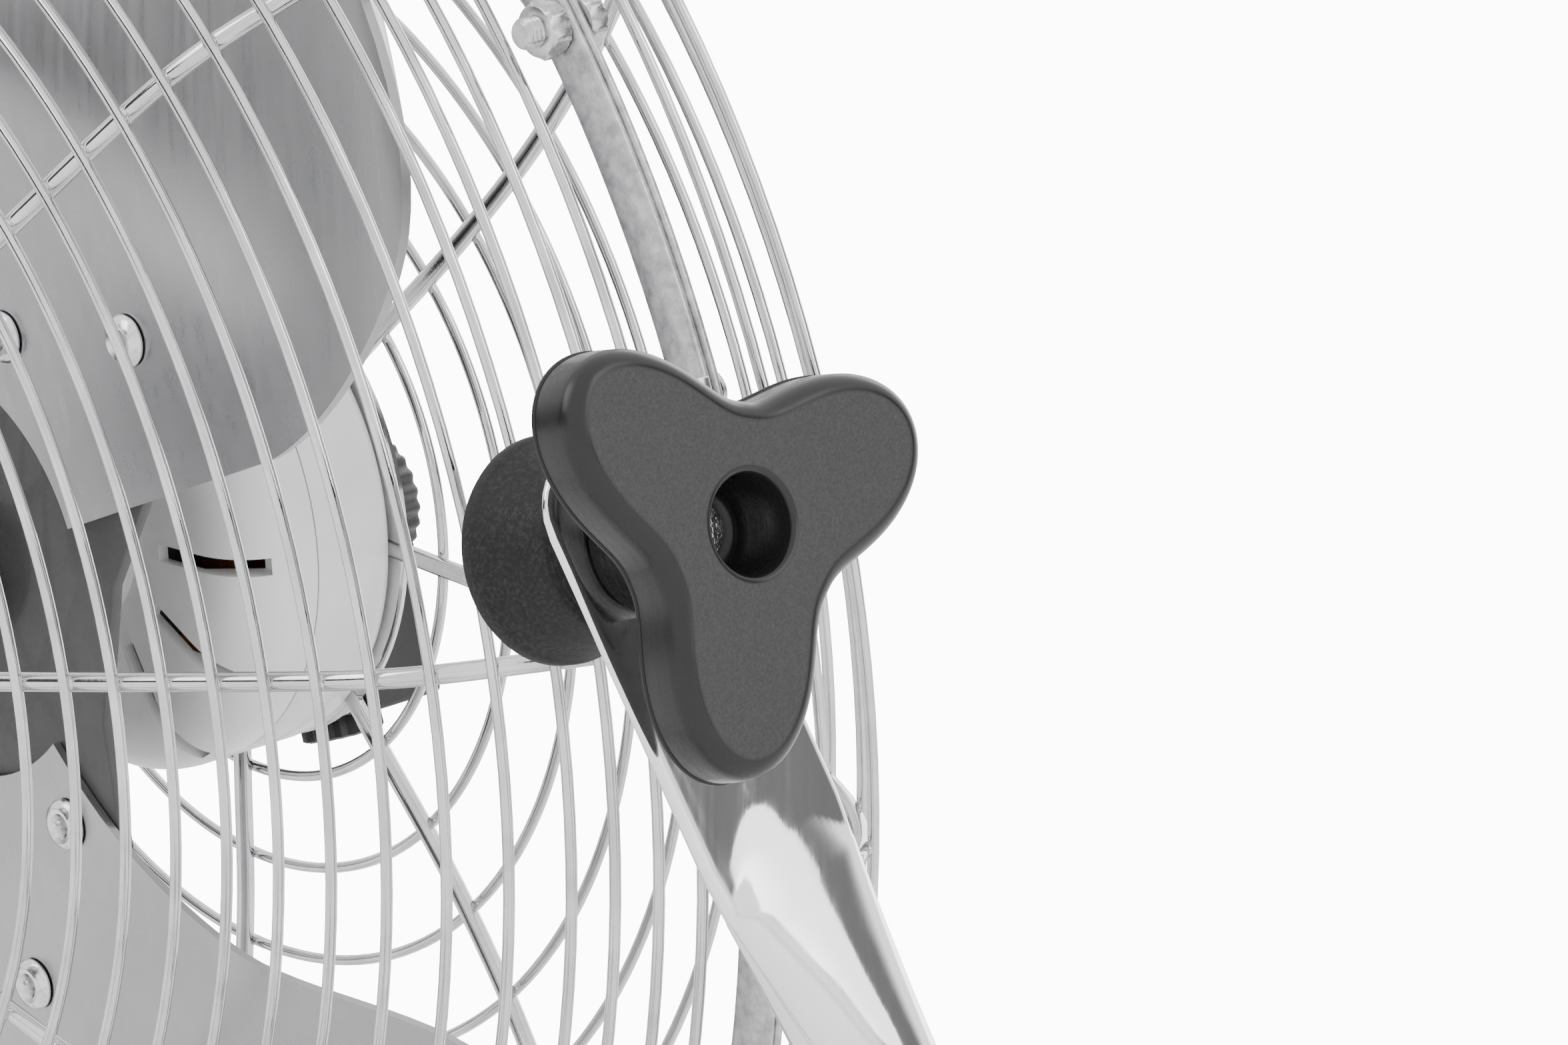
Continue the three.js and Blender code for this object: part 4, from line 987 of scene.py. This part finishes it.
spade_at = [
    0, 0.4, 1.2, 2.5, 4, 6, 9, 20, 40, 52
] + [54 + 0.7 * i for i in range(42)] + [84 + 2 * i for i in range(15)]
leg_row = []
for s in spade_at:
    p = leg_pivot + down_leg * (s / 1000 - END_PAST)
    leg_row.append(p)
heel_row = corner_points(leg_row[-1], heel, toe, BEND_R)
toe_row = corner_points(heel_row[-1], toe, Vector((0, FRONT_BAR_Y, TUBE_Z)), BEND_R)
half_row = [(p, s) for p, s in zip(leg_row, spade_at)] + [(p, None) for p in heel_row + toe_row]
whole = half_row + [(Vector((-p.x, p.y, p.z)), s) for p, s in reversed(half_row)]
tube_verts = []
wide = Vector((0, cos(SLANT), sin(SLANT)))
for i, (p, s) in enumerate(whole):
    along = (whole[min(i + 1, len(whole) - 1)][0] - whole[max(i - 1, 0)][0]).normalized()
    if s is not None:
        along.x = 0
        along.normalize()
    wide = (wide - along * wide.dot(along)).normalized()
    out = along.cross(wide)
    w, t = spade_size(s) if s is not None else (TUBE_D, TUBE_D)
    arch = 1.0 if s is None else max(
        min((s - 55) / 17, 1), 0.02
    ) ** 0.6  # share of the width that has opened
    web = 0.0 if s is None else FLAT_T / 2 * (1 - eased(s, 70, 92))
    for k in range(SIDES):
        a = 2 * pi * k / SIDES
        u = cos(a)
        swell = t / 2 * sqrt(max(1 - (u / arch) ** 2, 0)) if s is None or s > 55 else 0
        edge = sqrt(max(1 - u**10, 0))
        high = max(swell, web * edge)
        if web and swell:
            mix = max(0.0004 - abs(swell - web * edge), 0) / 0.0004
            high += mix * mix * 0.0001
        tube_verts.append(p + wide * u * w / 2 + out * high * (1 if sin(a) >= 0 else -1))
tube_faces = bands(len(whole), SIDES)
tube_faces += [tuple(range(SIDES)), tuple(range((len(whole) - 1) * SIDES, len(whole) * SIDES))]
tube = new_piece("stand_tube", tube_verts, tube_faces, smooth=50)
tube_chrome = surface(
    "chromed_tube", (0.78, 0.78, 0.79), (0.9, 0.9, 0.91), 0.09, 1.0, cloud=25, grain=700, bump=0.12,
    depth=0.00004, spread=0.04, turn=(SLANT, 0, 0), stretch=(1, 1, 0.06)
)
done(tube, "stand", "chrome", "stand_tube", place=STAND, finish=tube_chrome)

# ---------------------------------------------------------------------------
# Rubber feet
# Black rubber saddles pushed onto the runners, with flat soles and softened edges.
# ---------------------------------------------------------------------------
def softened(name, node, width, smooth=40):
    """A merged copy of a CAD node's mesh with its sharp edges rounded."""
    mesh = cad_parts[node].data.copy()
    mesh.materials.clear()
    shape = bmesh.new()
    shape.from_mesh(mesh)
    bmesh.ops.remove_doubles(shape, verts=shape.verts, dist=5e-6)
    bmesh.ops.dissolve_limit(shape, angle_limit=radians(1), verts=shape.verts, edges=shape.edges)
    shape.to_mesh(mesh)
    shape.free()
    return rounded(linked(name, mesh), width, corner=35, smooth=smooth)


foot_rubber = surface(
    "foot_rubber", (0.012, 0.012, 0.012), (0.035, 0.035, 0.035), 0.62, 0.0, cloud=120, grain=1500, bump=0.4,
    depth=0.0001, spread=0.1
)
for end in ("front_right", "front_left", "rear_right", "rear_left"):
    foot = softened("foot_" + end, "foot_" + end, 0.0016)
    done(foot, "stand", "rubber", "foot_" + end, place=None, finish=foot_rubber)

# ---------------------------------------------------------------------------
# Motor shells
# Two pressed bells painted silver-white, with radial cooling slots, on the rear plate.
# ---------------------------------------------------------------------------
shell_paint = surface(
    "shell_paint", (0.78, 0.78, 0.78), (0.86, 0.86, 0.86), 0.35, 0.0, cloud=60, grain=1800, bump=0.12,
    depth=0.00008, spread=0.05, coat=0.3
)
MOTOR_R, BELL_Y, SPLIT_Y, BELL_BACK = 0.044, 0.084, 0.100, PLATE_Y - GAP
bell_line = [
    (0.0113, BELL_Y - 0.006), (0.0136, BELL_Y - 0.006), (0.0140, BELL_Y - 0.0056),
    (0.0150, BELL_Y - 0.0004), (0.0160, BELL_Y)
]
bell_line += [(0.0318, BELL_Y)] + [
    (0.032 + 0.012 * sin(a), BELL_Y + 0.010 - 0.010 * cos(a)) for a in [i * pi / 20 for i in range(1, 11)]
]
bell_line += [
    (MOTOR_R, SPLIT_Y - 0.0016), (MOTOR_R - 0.0003, SPLIT_Y - 0.00015), (0.042, SPLIT_Y - 0.00015)
]
bell_line += [(0.042, BELL_Y + 0.011), (0.031, BELL_Y + 0.002), (0.0113, BELL_Y + 0.002)]
front_bell = lathe("motor_front_shell", bell_line, segments=128, closed=True)
slot_corners = [(x, y, z) for x in (0.021, 0.0432) for y in (-0.004, 0.0085) for z in (-0.0015, 0.0015)]
slot_faces = [(0, 1, 3, 2), (4, 6, 7, 5), (0, 4, 5, 1), (2, 3, 7, 6), (0, 2, 6, 4), (1, 5, 7, 3)]
slot_shape = new_piece("cooling_slot", slot_corners, slot_faces)
slot_tree, given = new_tree(
    "slots_round_axis", Cutter=("Object", None), Count=("Int", 6), Start=("Float", 0.0),
    Finish=("Material", None)
)
cutter = add(slot_tree, "GeometryNodeObjectInfo", {"Object": given["Cutter"]})
step = add(slot_tree, "ShaderNodeMath", {0: 2 * pi, 1: given["Count"]}, operation="DIVIDE")
cuts = round_axis(slot_tree, given, cutter.outputs["Geometry"], step.outputs[0])
real_cuts = add(slot_tree, "GeometryNodeRealizeInstances", {"Geometry": cuts}).outputs[0]
moved = add(slot_tree, "GeometryNodeTransform", {"Geometry": real_cuts, "Translation": (0, BELL_Y, AXIS_Z)})
cut = add(
    slot_tree, "GeometryNodeMeshBoolean", {"Mesh 1": given["Geometry"], "Mesh 2": moved.outputs[0]},
    operation="DIFFERENCE"
)
end_tree(slot_tree, cut.outputs[0], given["Finish"])
front_bell = grown(
    "motor_front_shell", front_bell, slot_tree, smooth=35, Cutter=slot_shape, Count=12, Start=0.26,
    Finish=shell_paint
)
bpy.data.objects.remove(slot_shape)
done(front_bell, "head", "motor_paint", "motor_front_shell")
rear_line = [
    (MOTOR_R - 0.0003, SPLIT_Y + 0.00015), (MOTOR_R, SPLIT_Y + 0.0016), (MOTOR_R, BELL_BACK - 0.005)
]
rear_line += [
    (
        0.039 + 0.005 * cos(a), BELL_BACK - 0.005 + 0.005 * sin(a)
    ) for a in [i * pi / 20 for i in range(1, 11)]
]
rear_line += [
    (0.0113, BELL_BACK), (0.0113, BELL_BACK - 0.008), (0.014, BELL_BACK - 0.008), (0.015, BELL_BACK - 0.002)
]
rear_line += [(0.038, BELL_BACK - 0.002), (0.042, BELL_BACK - 0.006), (0.042, SPLIT_Y + 0.00015)]
rear_bell = lathe("motor_rear_shell", rear_line, segments=128, closed=True)
done(rear_bell, "head", "motor_paint", "motor_rear_shell", finish=shell_paint)

# ---------------------------------------------------------------------------
# Motor screws
# Four pan-head screws through the rear plate into the motor, with a small round recess in each head.
# ---------------------------------------------------------------------------
SCREW_Y = MOUNT_Y
pan = lathe(
    "motor_screw",
    [
        (0, SCREW_Y - 0.009), (0.0019, SCREW_Y - 0.009), (0.0019, SCREW_Y), (0.0038, SCREW_Y),
        (0.004, SCREW_Y + 0.0004), (0.0036, SCREW_Y + 0.0016), (0.0026, SCREW_Y + 0.0024),
        (0.0016, SCREW_Y + 0.0026), (0.0011, SCREW_Y + 0.0014), (0, SCREW_Y + 0.0012)
    ],
    segments=32, about=(0, 0, 0)
)
screw_spots = spots_at(0.019, (45, 135, 225, 315))
done(
    fasteners("motor_screws", screw_spots, pan, zinc), "head", "zinc",
    *(f"motor_screw_{i}" for i in range(1, 5))
)

# ---------------------------------------------------------------------------
# Inside the motor
# Laminated core, enamelled windings, bearings, rotor and shaft. They hardly show, so they stay plain.
# ---------------------------------------------------------------------------
laminated = surface(
    "laminated_steel", (0.12, 0.12, 0.12), (0.3, 0.3, 0.3), 0.42, 1.0, cloud=50, grain=1500, bump=0.5,
    stretch=(0.05, 1, 0.05), depth=0.0002
)
bright_steel = surface(
    "bright_steel", (0.42, 0.42, 0.43), (0.6, 0.6, 0.6), 0.24, 1.0, cloud=90, grain=900, bump=0.15,
    stretch=(1, 0.1, 1)
)
winding = surface(
    "enamelled_copper", (0.30, 0.11, 0.04), (0.5, 0.2, 0.08), 0.35, 0.9, cloud=90, grain=1400, bump=0.7,
    stretch=(1, 0.1, 1), depth=0.0003
)
for node, finish in (
    ("stator_core", laminated), ("rotor_core", laminated), (
        "front_bearing", bright_steel
    ), ("rear_bearing", bright_steel),
    ("stator_coil_front", winding), ("stator_coil_rear", winding), ("hub_set_screw", bright_steel),
):
    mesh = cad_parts[node].data
    mesh.materials.clear()
    mesh.materials.append(finish)
shaft = lathe(
    "motor_shaft",
    [
        (0, 0.042), (0.0034, 0.042), (0.004, 0.0426), (0.004, BELL_BACK - 0.0016),
        (0.0034, BELL_BACK - 0.001), (0, BELL_BACK - 0.001)
    ],
    segments=48
)
done(shaft, "rotor", "steel", "motor_shaft", finish=bright_steel)

# ---------------------------------------------------------------------------
# Hub spider
# A three-armed plate cut from 2.5 mm steel on a bored hub, painted dark grey. The arms have round ends.
# ---------------------------------------------------------------------------
SPIDER_Y, SPIDER_T, HUB_D, ARM_W, ARM_R = 0.059, 0.0025, 0.070, 0.046, 0.085
ARM_AT = (33, 153, 273)
spider_outline = []
for k in range(3):
    a = radians(ARM_AT[0] + 120 * k)
    side, end = Vector((-sin(a), cos(a))) * ARM_W / 2, Vector((cos(a), sin(a)))
    root, tip = end * (HUB_D / 2 - 0.004), end * (ARM_R - ARM_W / 2)
    spider_outline.append(root - side * 1.25)
    spider_outline += [
        tip + Vector((cos(a + b), sin(a + b))) * ARM_W / 2 for b in [
            -pi / 2 + pi * i / 28 for i in range(29)
        ]
    ]
    spider_outline.append(root + side * 1.25)
spider = pressed(
    "hub_spider", [(p.x, p.y) for p in spider_outline], lambda u, v, w: (u, SPIDER_Y - w, AXIS_Z + v),
    SPIDER_T, edge=0.0004
)
hub = lathe(
    "spider_hub",
    [(0.0043, 0.049), (0.0112, 0.049), (0.012, 0.0498), (0.012, 0.0732), (0.0112, 0.074), (0.0043, 0.074)],
    segments=64, closed=True
)
spider = joined("hub_spider", spider, hub)
spider_paint = surface(
    "spider_paint", (0.035, 0.035, 0.036), (0.06, 0.06, 0.061), 0.42, 0.1, cloud=45, grain=1500, bump=0.25,
    depth=0.0001, spread=0.06, coat=0.15
)
done(spider, "rotor", "dark_paint", "hub_spider", finish=spider_paint)

# ---------------------------------------------------------------------------
# Blades
# Three pitched blades pressed from 1.4 mm satin aluminium, rolled lightly lengthways, riveted to the arms.
# ---------------------------------------------------------------------------
BLADE_T, BLADE_R = 0.0014, 0.175
BLADE_Y = SPIDER_Y - SPIDER_T / 2 - GAP - BLADE_T / 2
blade_metal = surface(
    "satin_aluminium", (0.36, 0.36, 0.37), (0.46, 0.46, 0.47), 0.3, 1.0, cloud=14, grain=420, bump=0.04,
    depth=0.00003, stretch=(1, 1, 0.05), spread=0.06
)
BLADE_ROWS, BLADE_ACROSS = 44, 36


def blade_point(deg, i, j):
    r = (36 + (175 - 36) * (1 - (1 - i / BLADE_ROWS) ** 1.25)) / 1000
    u, t = j / BLADE_ACROSS, r / BLADE_R
    opened = eased(r * 1000, 87, 150)
    sweep = max(0, (r * 1000 - 95) / 80)
    lead = radians(26 + 16 * eased(r * 1000, 36, 130) - 16 * t**8)
    trail = radians(27 - 13 * sweep**1.3 - 16 * sweep**8)
    a = radians(deg) + lead + (-trail - lead) * u
    y = BLADE_Y + ((0.82 - u) * 0.030 + 0.005 * sin(pi * u)) * opened
    return Vector((r * cos(a), y, AXIS_Z + r * sin(a)))


for number, deg in enumerate(ARM_AT, 1):
    wide = BLADE_ACROSS + 1
    grid = [blade_point(deg, i, j) for i in range(BLADE_ROWS + 1) for j in range(wide)]
    quads = [
        (
            i * wide + j, i * wide + j + 1, (i + 1) * wide + j + 1, (i + 1) * wide + j
        ) for i in range(BLADE_ROWS) for j in range(BLADE_ACROSS)
    ]
    blade = new_piece(f"blade_{number}", grid, quads)
    wall = blade.modifiers.new("wall", "SOLIDIFY")
    wall.thickness, wall.offset = BLADE_T, 0
    settled(blade, 40)
    done(blade, "rotor", "blade_aluminium", f"blade_{number}", finish=blade_metal)

# ---------------------------------------------------------------------------
# Blade rivets
# Bright tubular rivets, two to a blade, with rolled rims and open ends.
# ---------------------------------------------------------------------------
RIVET_FRONT, RIVET_BACK = BLADE_Y - BLADE_T / 2 - GAP, SPIDER_Y + SPIDER_T / 2 + GAP
tube_rivet = lathe("blade_rivet", [
    (0, RIVET_FRONT + 0.0016), (
        0.0015, RIVET_FRONT + 0.0014
    ), (0.0017, RIVET_FRONT - 0.0008), (0.0022, RIVET_FRONT - 0.0016), (0.0030, RIVET_FRONT - 0.0018),
    (
        0.0040, RIVET_FRONT - 0.0013
    ), (0.0045, RIVET_FRONT - 0.0004), (0.0044, RIVET_FRONT), (0.0025, RIVET_FRONT), (0.0025, RIVET_BACK),
    (0.0042, RIVET_BACK), (
        0.0041, RIVET_BACK + 0.0008
    ), (0.0030, RIVET_BACK + 0.0015), (0, RIVET_BACK + 0.0015),
], segments=40, about=(0, 0, 0))
blade_rivet_spots = []
for deg in ARM_AT:
    for along, off in ((0.046, 0.014), (0.0716, -0.0075)):
        a = radians(deg)
        blade_rivet_spots.append((along * cos(a) - off * sin(a), 0, AXIS_Z + along * sin(a) + off * cos(a)))
rivet_metal = surface(
    "bright_rivet", (0.7, 0.7, 0.71), (0.88, 0.88, 0.89), 0.18, 1.0, cloud=300, grain=900, bump=0.12
)
done(
    fasteners("blade_rivets", blade_rivet_spots, tube_rivet, rivet_metal), "rotor", "blade_aluminium",
    *(f"blade_rivet_{i}" for i in range(1, 7))
)

# ---------------------------------------------------------------------------
# Switch housing, speed knob, capacitor and cable entry
# Black mouldings on the back of the motor plate. The dial turns on the switch's spindle, and a ribbed gland
# takes the lead in below.
# ---------------------------------------------------------------------------
moulded_black = surface(
    "moulded_black", (0.014, 0.014, 0.014), (0.026, 0.026, 0.026), 0.45, 0.0, cloud=60, grain=2400,
    bump=0.3, depth=0.0001, spread=0.06
)
white_moulding = surface(
    "white_moulding", (0.66, 0.66, 0.63), (0.74, 0.74, 0.72), 0.4, 0.0, cloud=80, grain=1800, bump=0.15
)
done(
    softened("switch_housing", "switch_housing", 0.0012), "head", "black_plastic", "switch_housing",
    place=None, finish=moulded_black
)
done(
    softened("run_capacitor", "run_capacitor", 0.001), "head", "black_plastic", "run_capacitor", place=None,
    finish=moulded_black
)
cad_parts["speed_switch"].data.materials.clear()
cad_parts["speed_switch"].data.materials.append(white_moulding)

HOUSING_DEEP = 0.016
BOX_BACK, DIAL_Z = MOUNT_Y + HOUSING_DEEP + GAP, AXIS_Z - 0.008
DIAL_POINTS = 144
dial_rows = [
    (0.0033, 0), (0.0138, 0), (0.014, 0.0004), (0.014, 0.0026), (0.0136, 0.0031), (0.0124, 0.0036),
    (0.0119, 0.0096), (0.0114, 0.0107), (0.0104, 0.011), (0, 0.011)
]
dial_verts = []
for row, (r, y) in enumerate(dial_rows):
    for k in range(DIAL_POINTS):
        a = 2 * pi * k / DIAL_POINTS
        grip = 0.00035 * cos(24 * a) if 5 <= row <= 7 else 0
        dial_verts.append(((r + grip) * cos(a), BOX_BACK + y, DIAL_Z + (r + grip) * sin(a)))
dial = new_piece("speed_knob", dial_verts, bands(len(dial_rows), DIAL_POINTS) + [tuple(range(DIAL_POINTS))])
pointer_outline = [
    (
        -0.0017, -0.0109
    ), (0.0017, -0.0109), (0.0017, 0.0102), (0.0008, 0.0114), (-0.0008, 0.0114), (-0.0017, 0.0102),
]
pointer = pressed(
    "pointer", pointer_outline, lambda u, v, w: (u, BOX_BACK + 0.0128 - w, DIAL_Z + v), 0.0044, edge=0.0005
)
dial = joined("speed_knob", dial, pointer)
done(dial, "speed_dial", "black_plastic", "speed_knob", finish=moulded_black)

GLAND_Y, GLAND_Z = MOUNT_Y + 0.008, AXIS_Z - 0.040
gland_rows = [
    (0.0026, 0.006), (0.0042, 0.006), (0.0042, -0.0026), (0.0068, -0.0026), (0.007, -0.0029),
    (0.007, -0.0062), (0.0064, -0.0066), (0.0050, -0.0066), (0.0044, -0.0062), (0.0026, -0.0062)
]
GLAND_POINTS = 72
gland_verts = []
for row, (r, z) in enumerate(gland_rows):
    for k in range(GLAND_POINTS):
        a = 2 * pi * k / GLAND_POINTS
        rib = 0.0003 * cos(18 * a) if 3 <= row <= 6 else 0
        gland_verts.append(((r + rib) * cos(a), GLAND_Y + (r + rib) * sin(a), GLAND_Z + z))
gland = new_piece("cable_gland", gland_verts, bands(len(gland_rows), GLAND_POINTS, closed=True))
done(gland, "head", "black_plastic", "cable_gland", finish=moulded_black)

# ---------------------------------------------------------------------------
# Carry handle and its screws
# A moulded black bow on the top of the rear rim, held by two pan-head screws from the front.
# ---------------------------------------------------------------------------
done(
    softened("carry_handle", "carry_handle", 0.0022, smooth=50), "head", "black_plastic", "carry_handle",
    place=None, finish=moulded_black
)
HANDLE_Z = AXIS_Z + sqrt(RIM_OUT**2 - 0.050**2) - 0.0045
HANDLE_END = BACK_Y + 0.004 + 0.0016
handle_screw = lathe(
    "handle_screw",
    [
        (0, NUT_Y - 0.0014), (0.0010, NUT_Y - 0.0015), (0.0014, NUT_Y - 0.0026), (0.0026, NUT_Y - 0.0024),
        (0.0035, NUT_Y - 0.0014), (0.0037, NUT_Y - 0.0004), (0.0036, NUT_Y), (0.002, NUT_Y),
        (0.002, HANDLE_END - 0.0005), (0.0015, HANDLE_END), (0, HANDLE_END)
    ],
    segments=36, about=(0, 0, 0)
)
done(
    fasteners("handle_screws", [(side * 0.050, 0, HANDLE_Z) for side in (1, -1)], handle_screw, zinc),
    "head", "zinc", "handle_screw_right", "handle_screw_left"
)
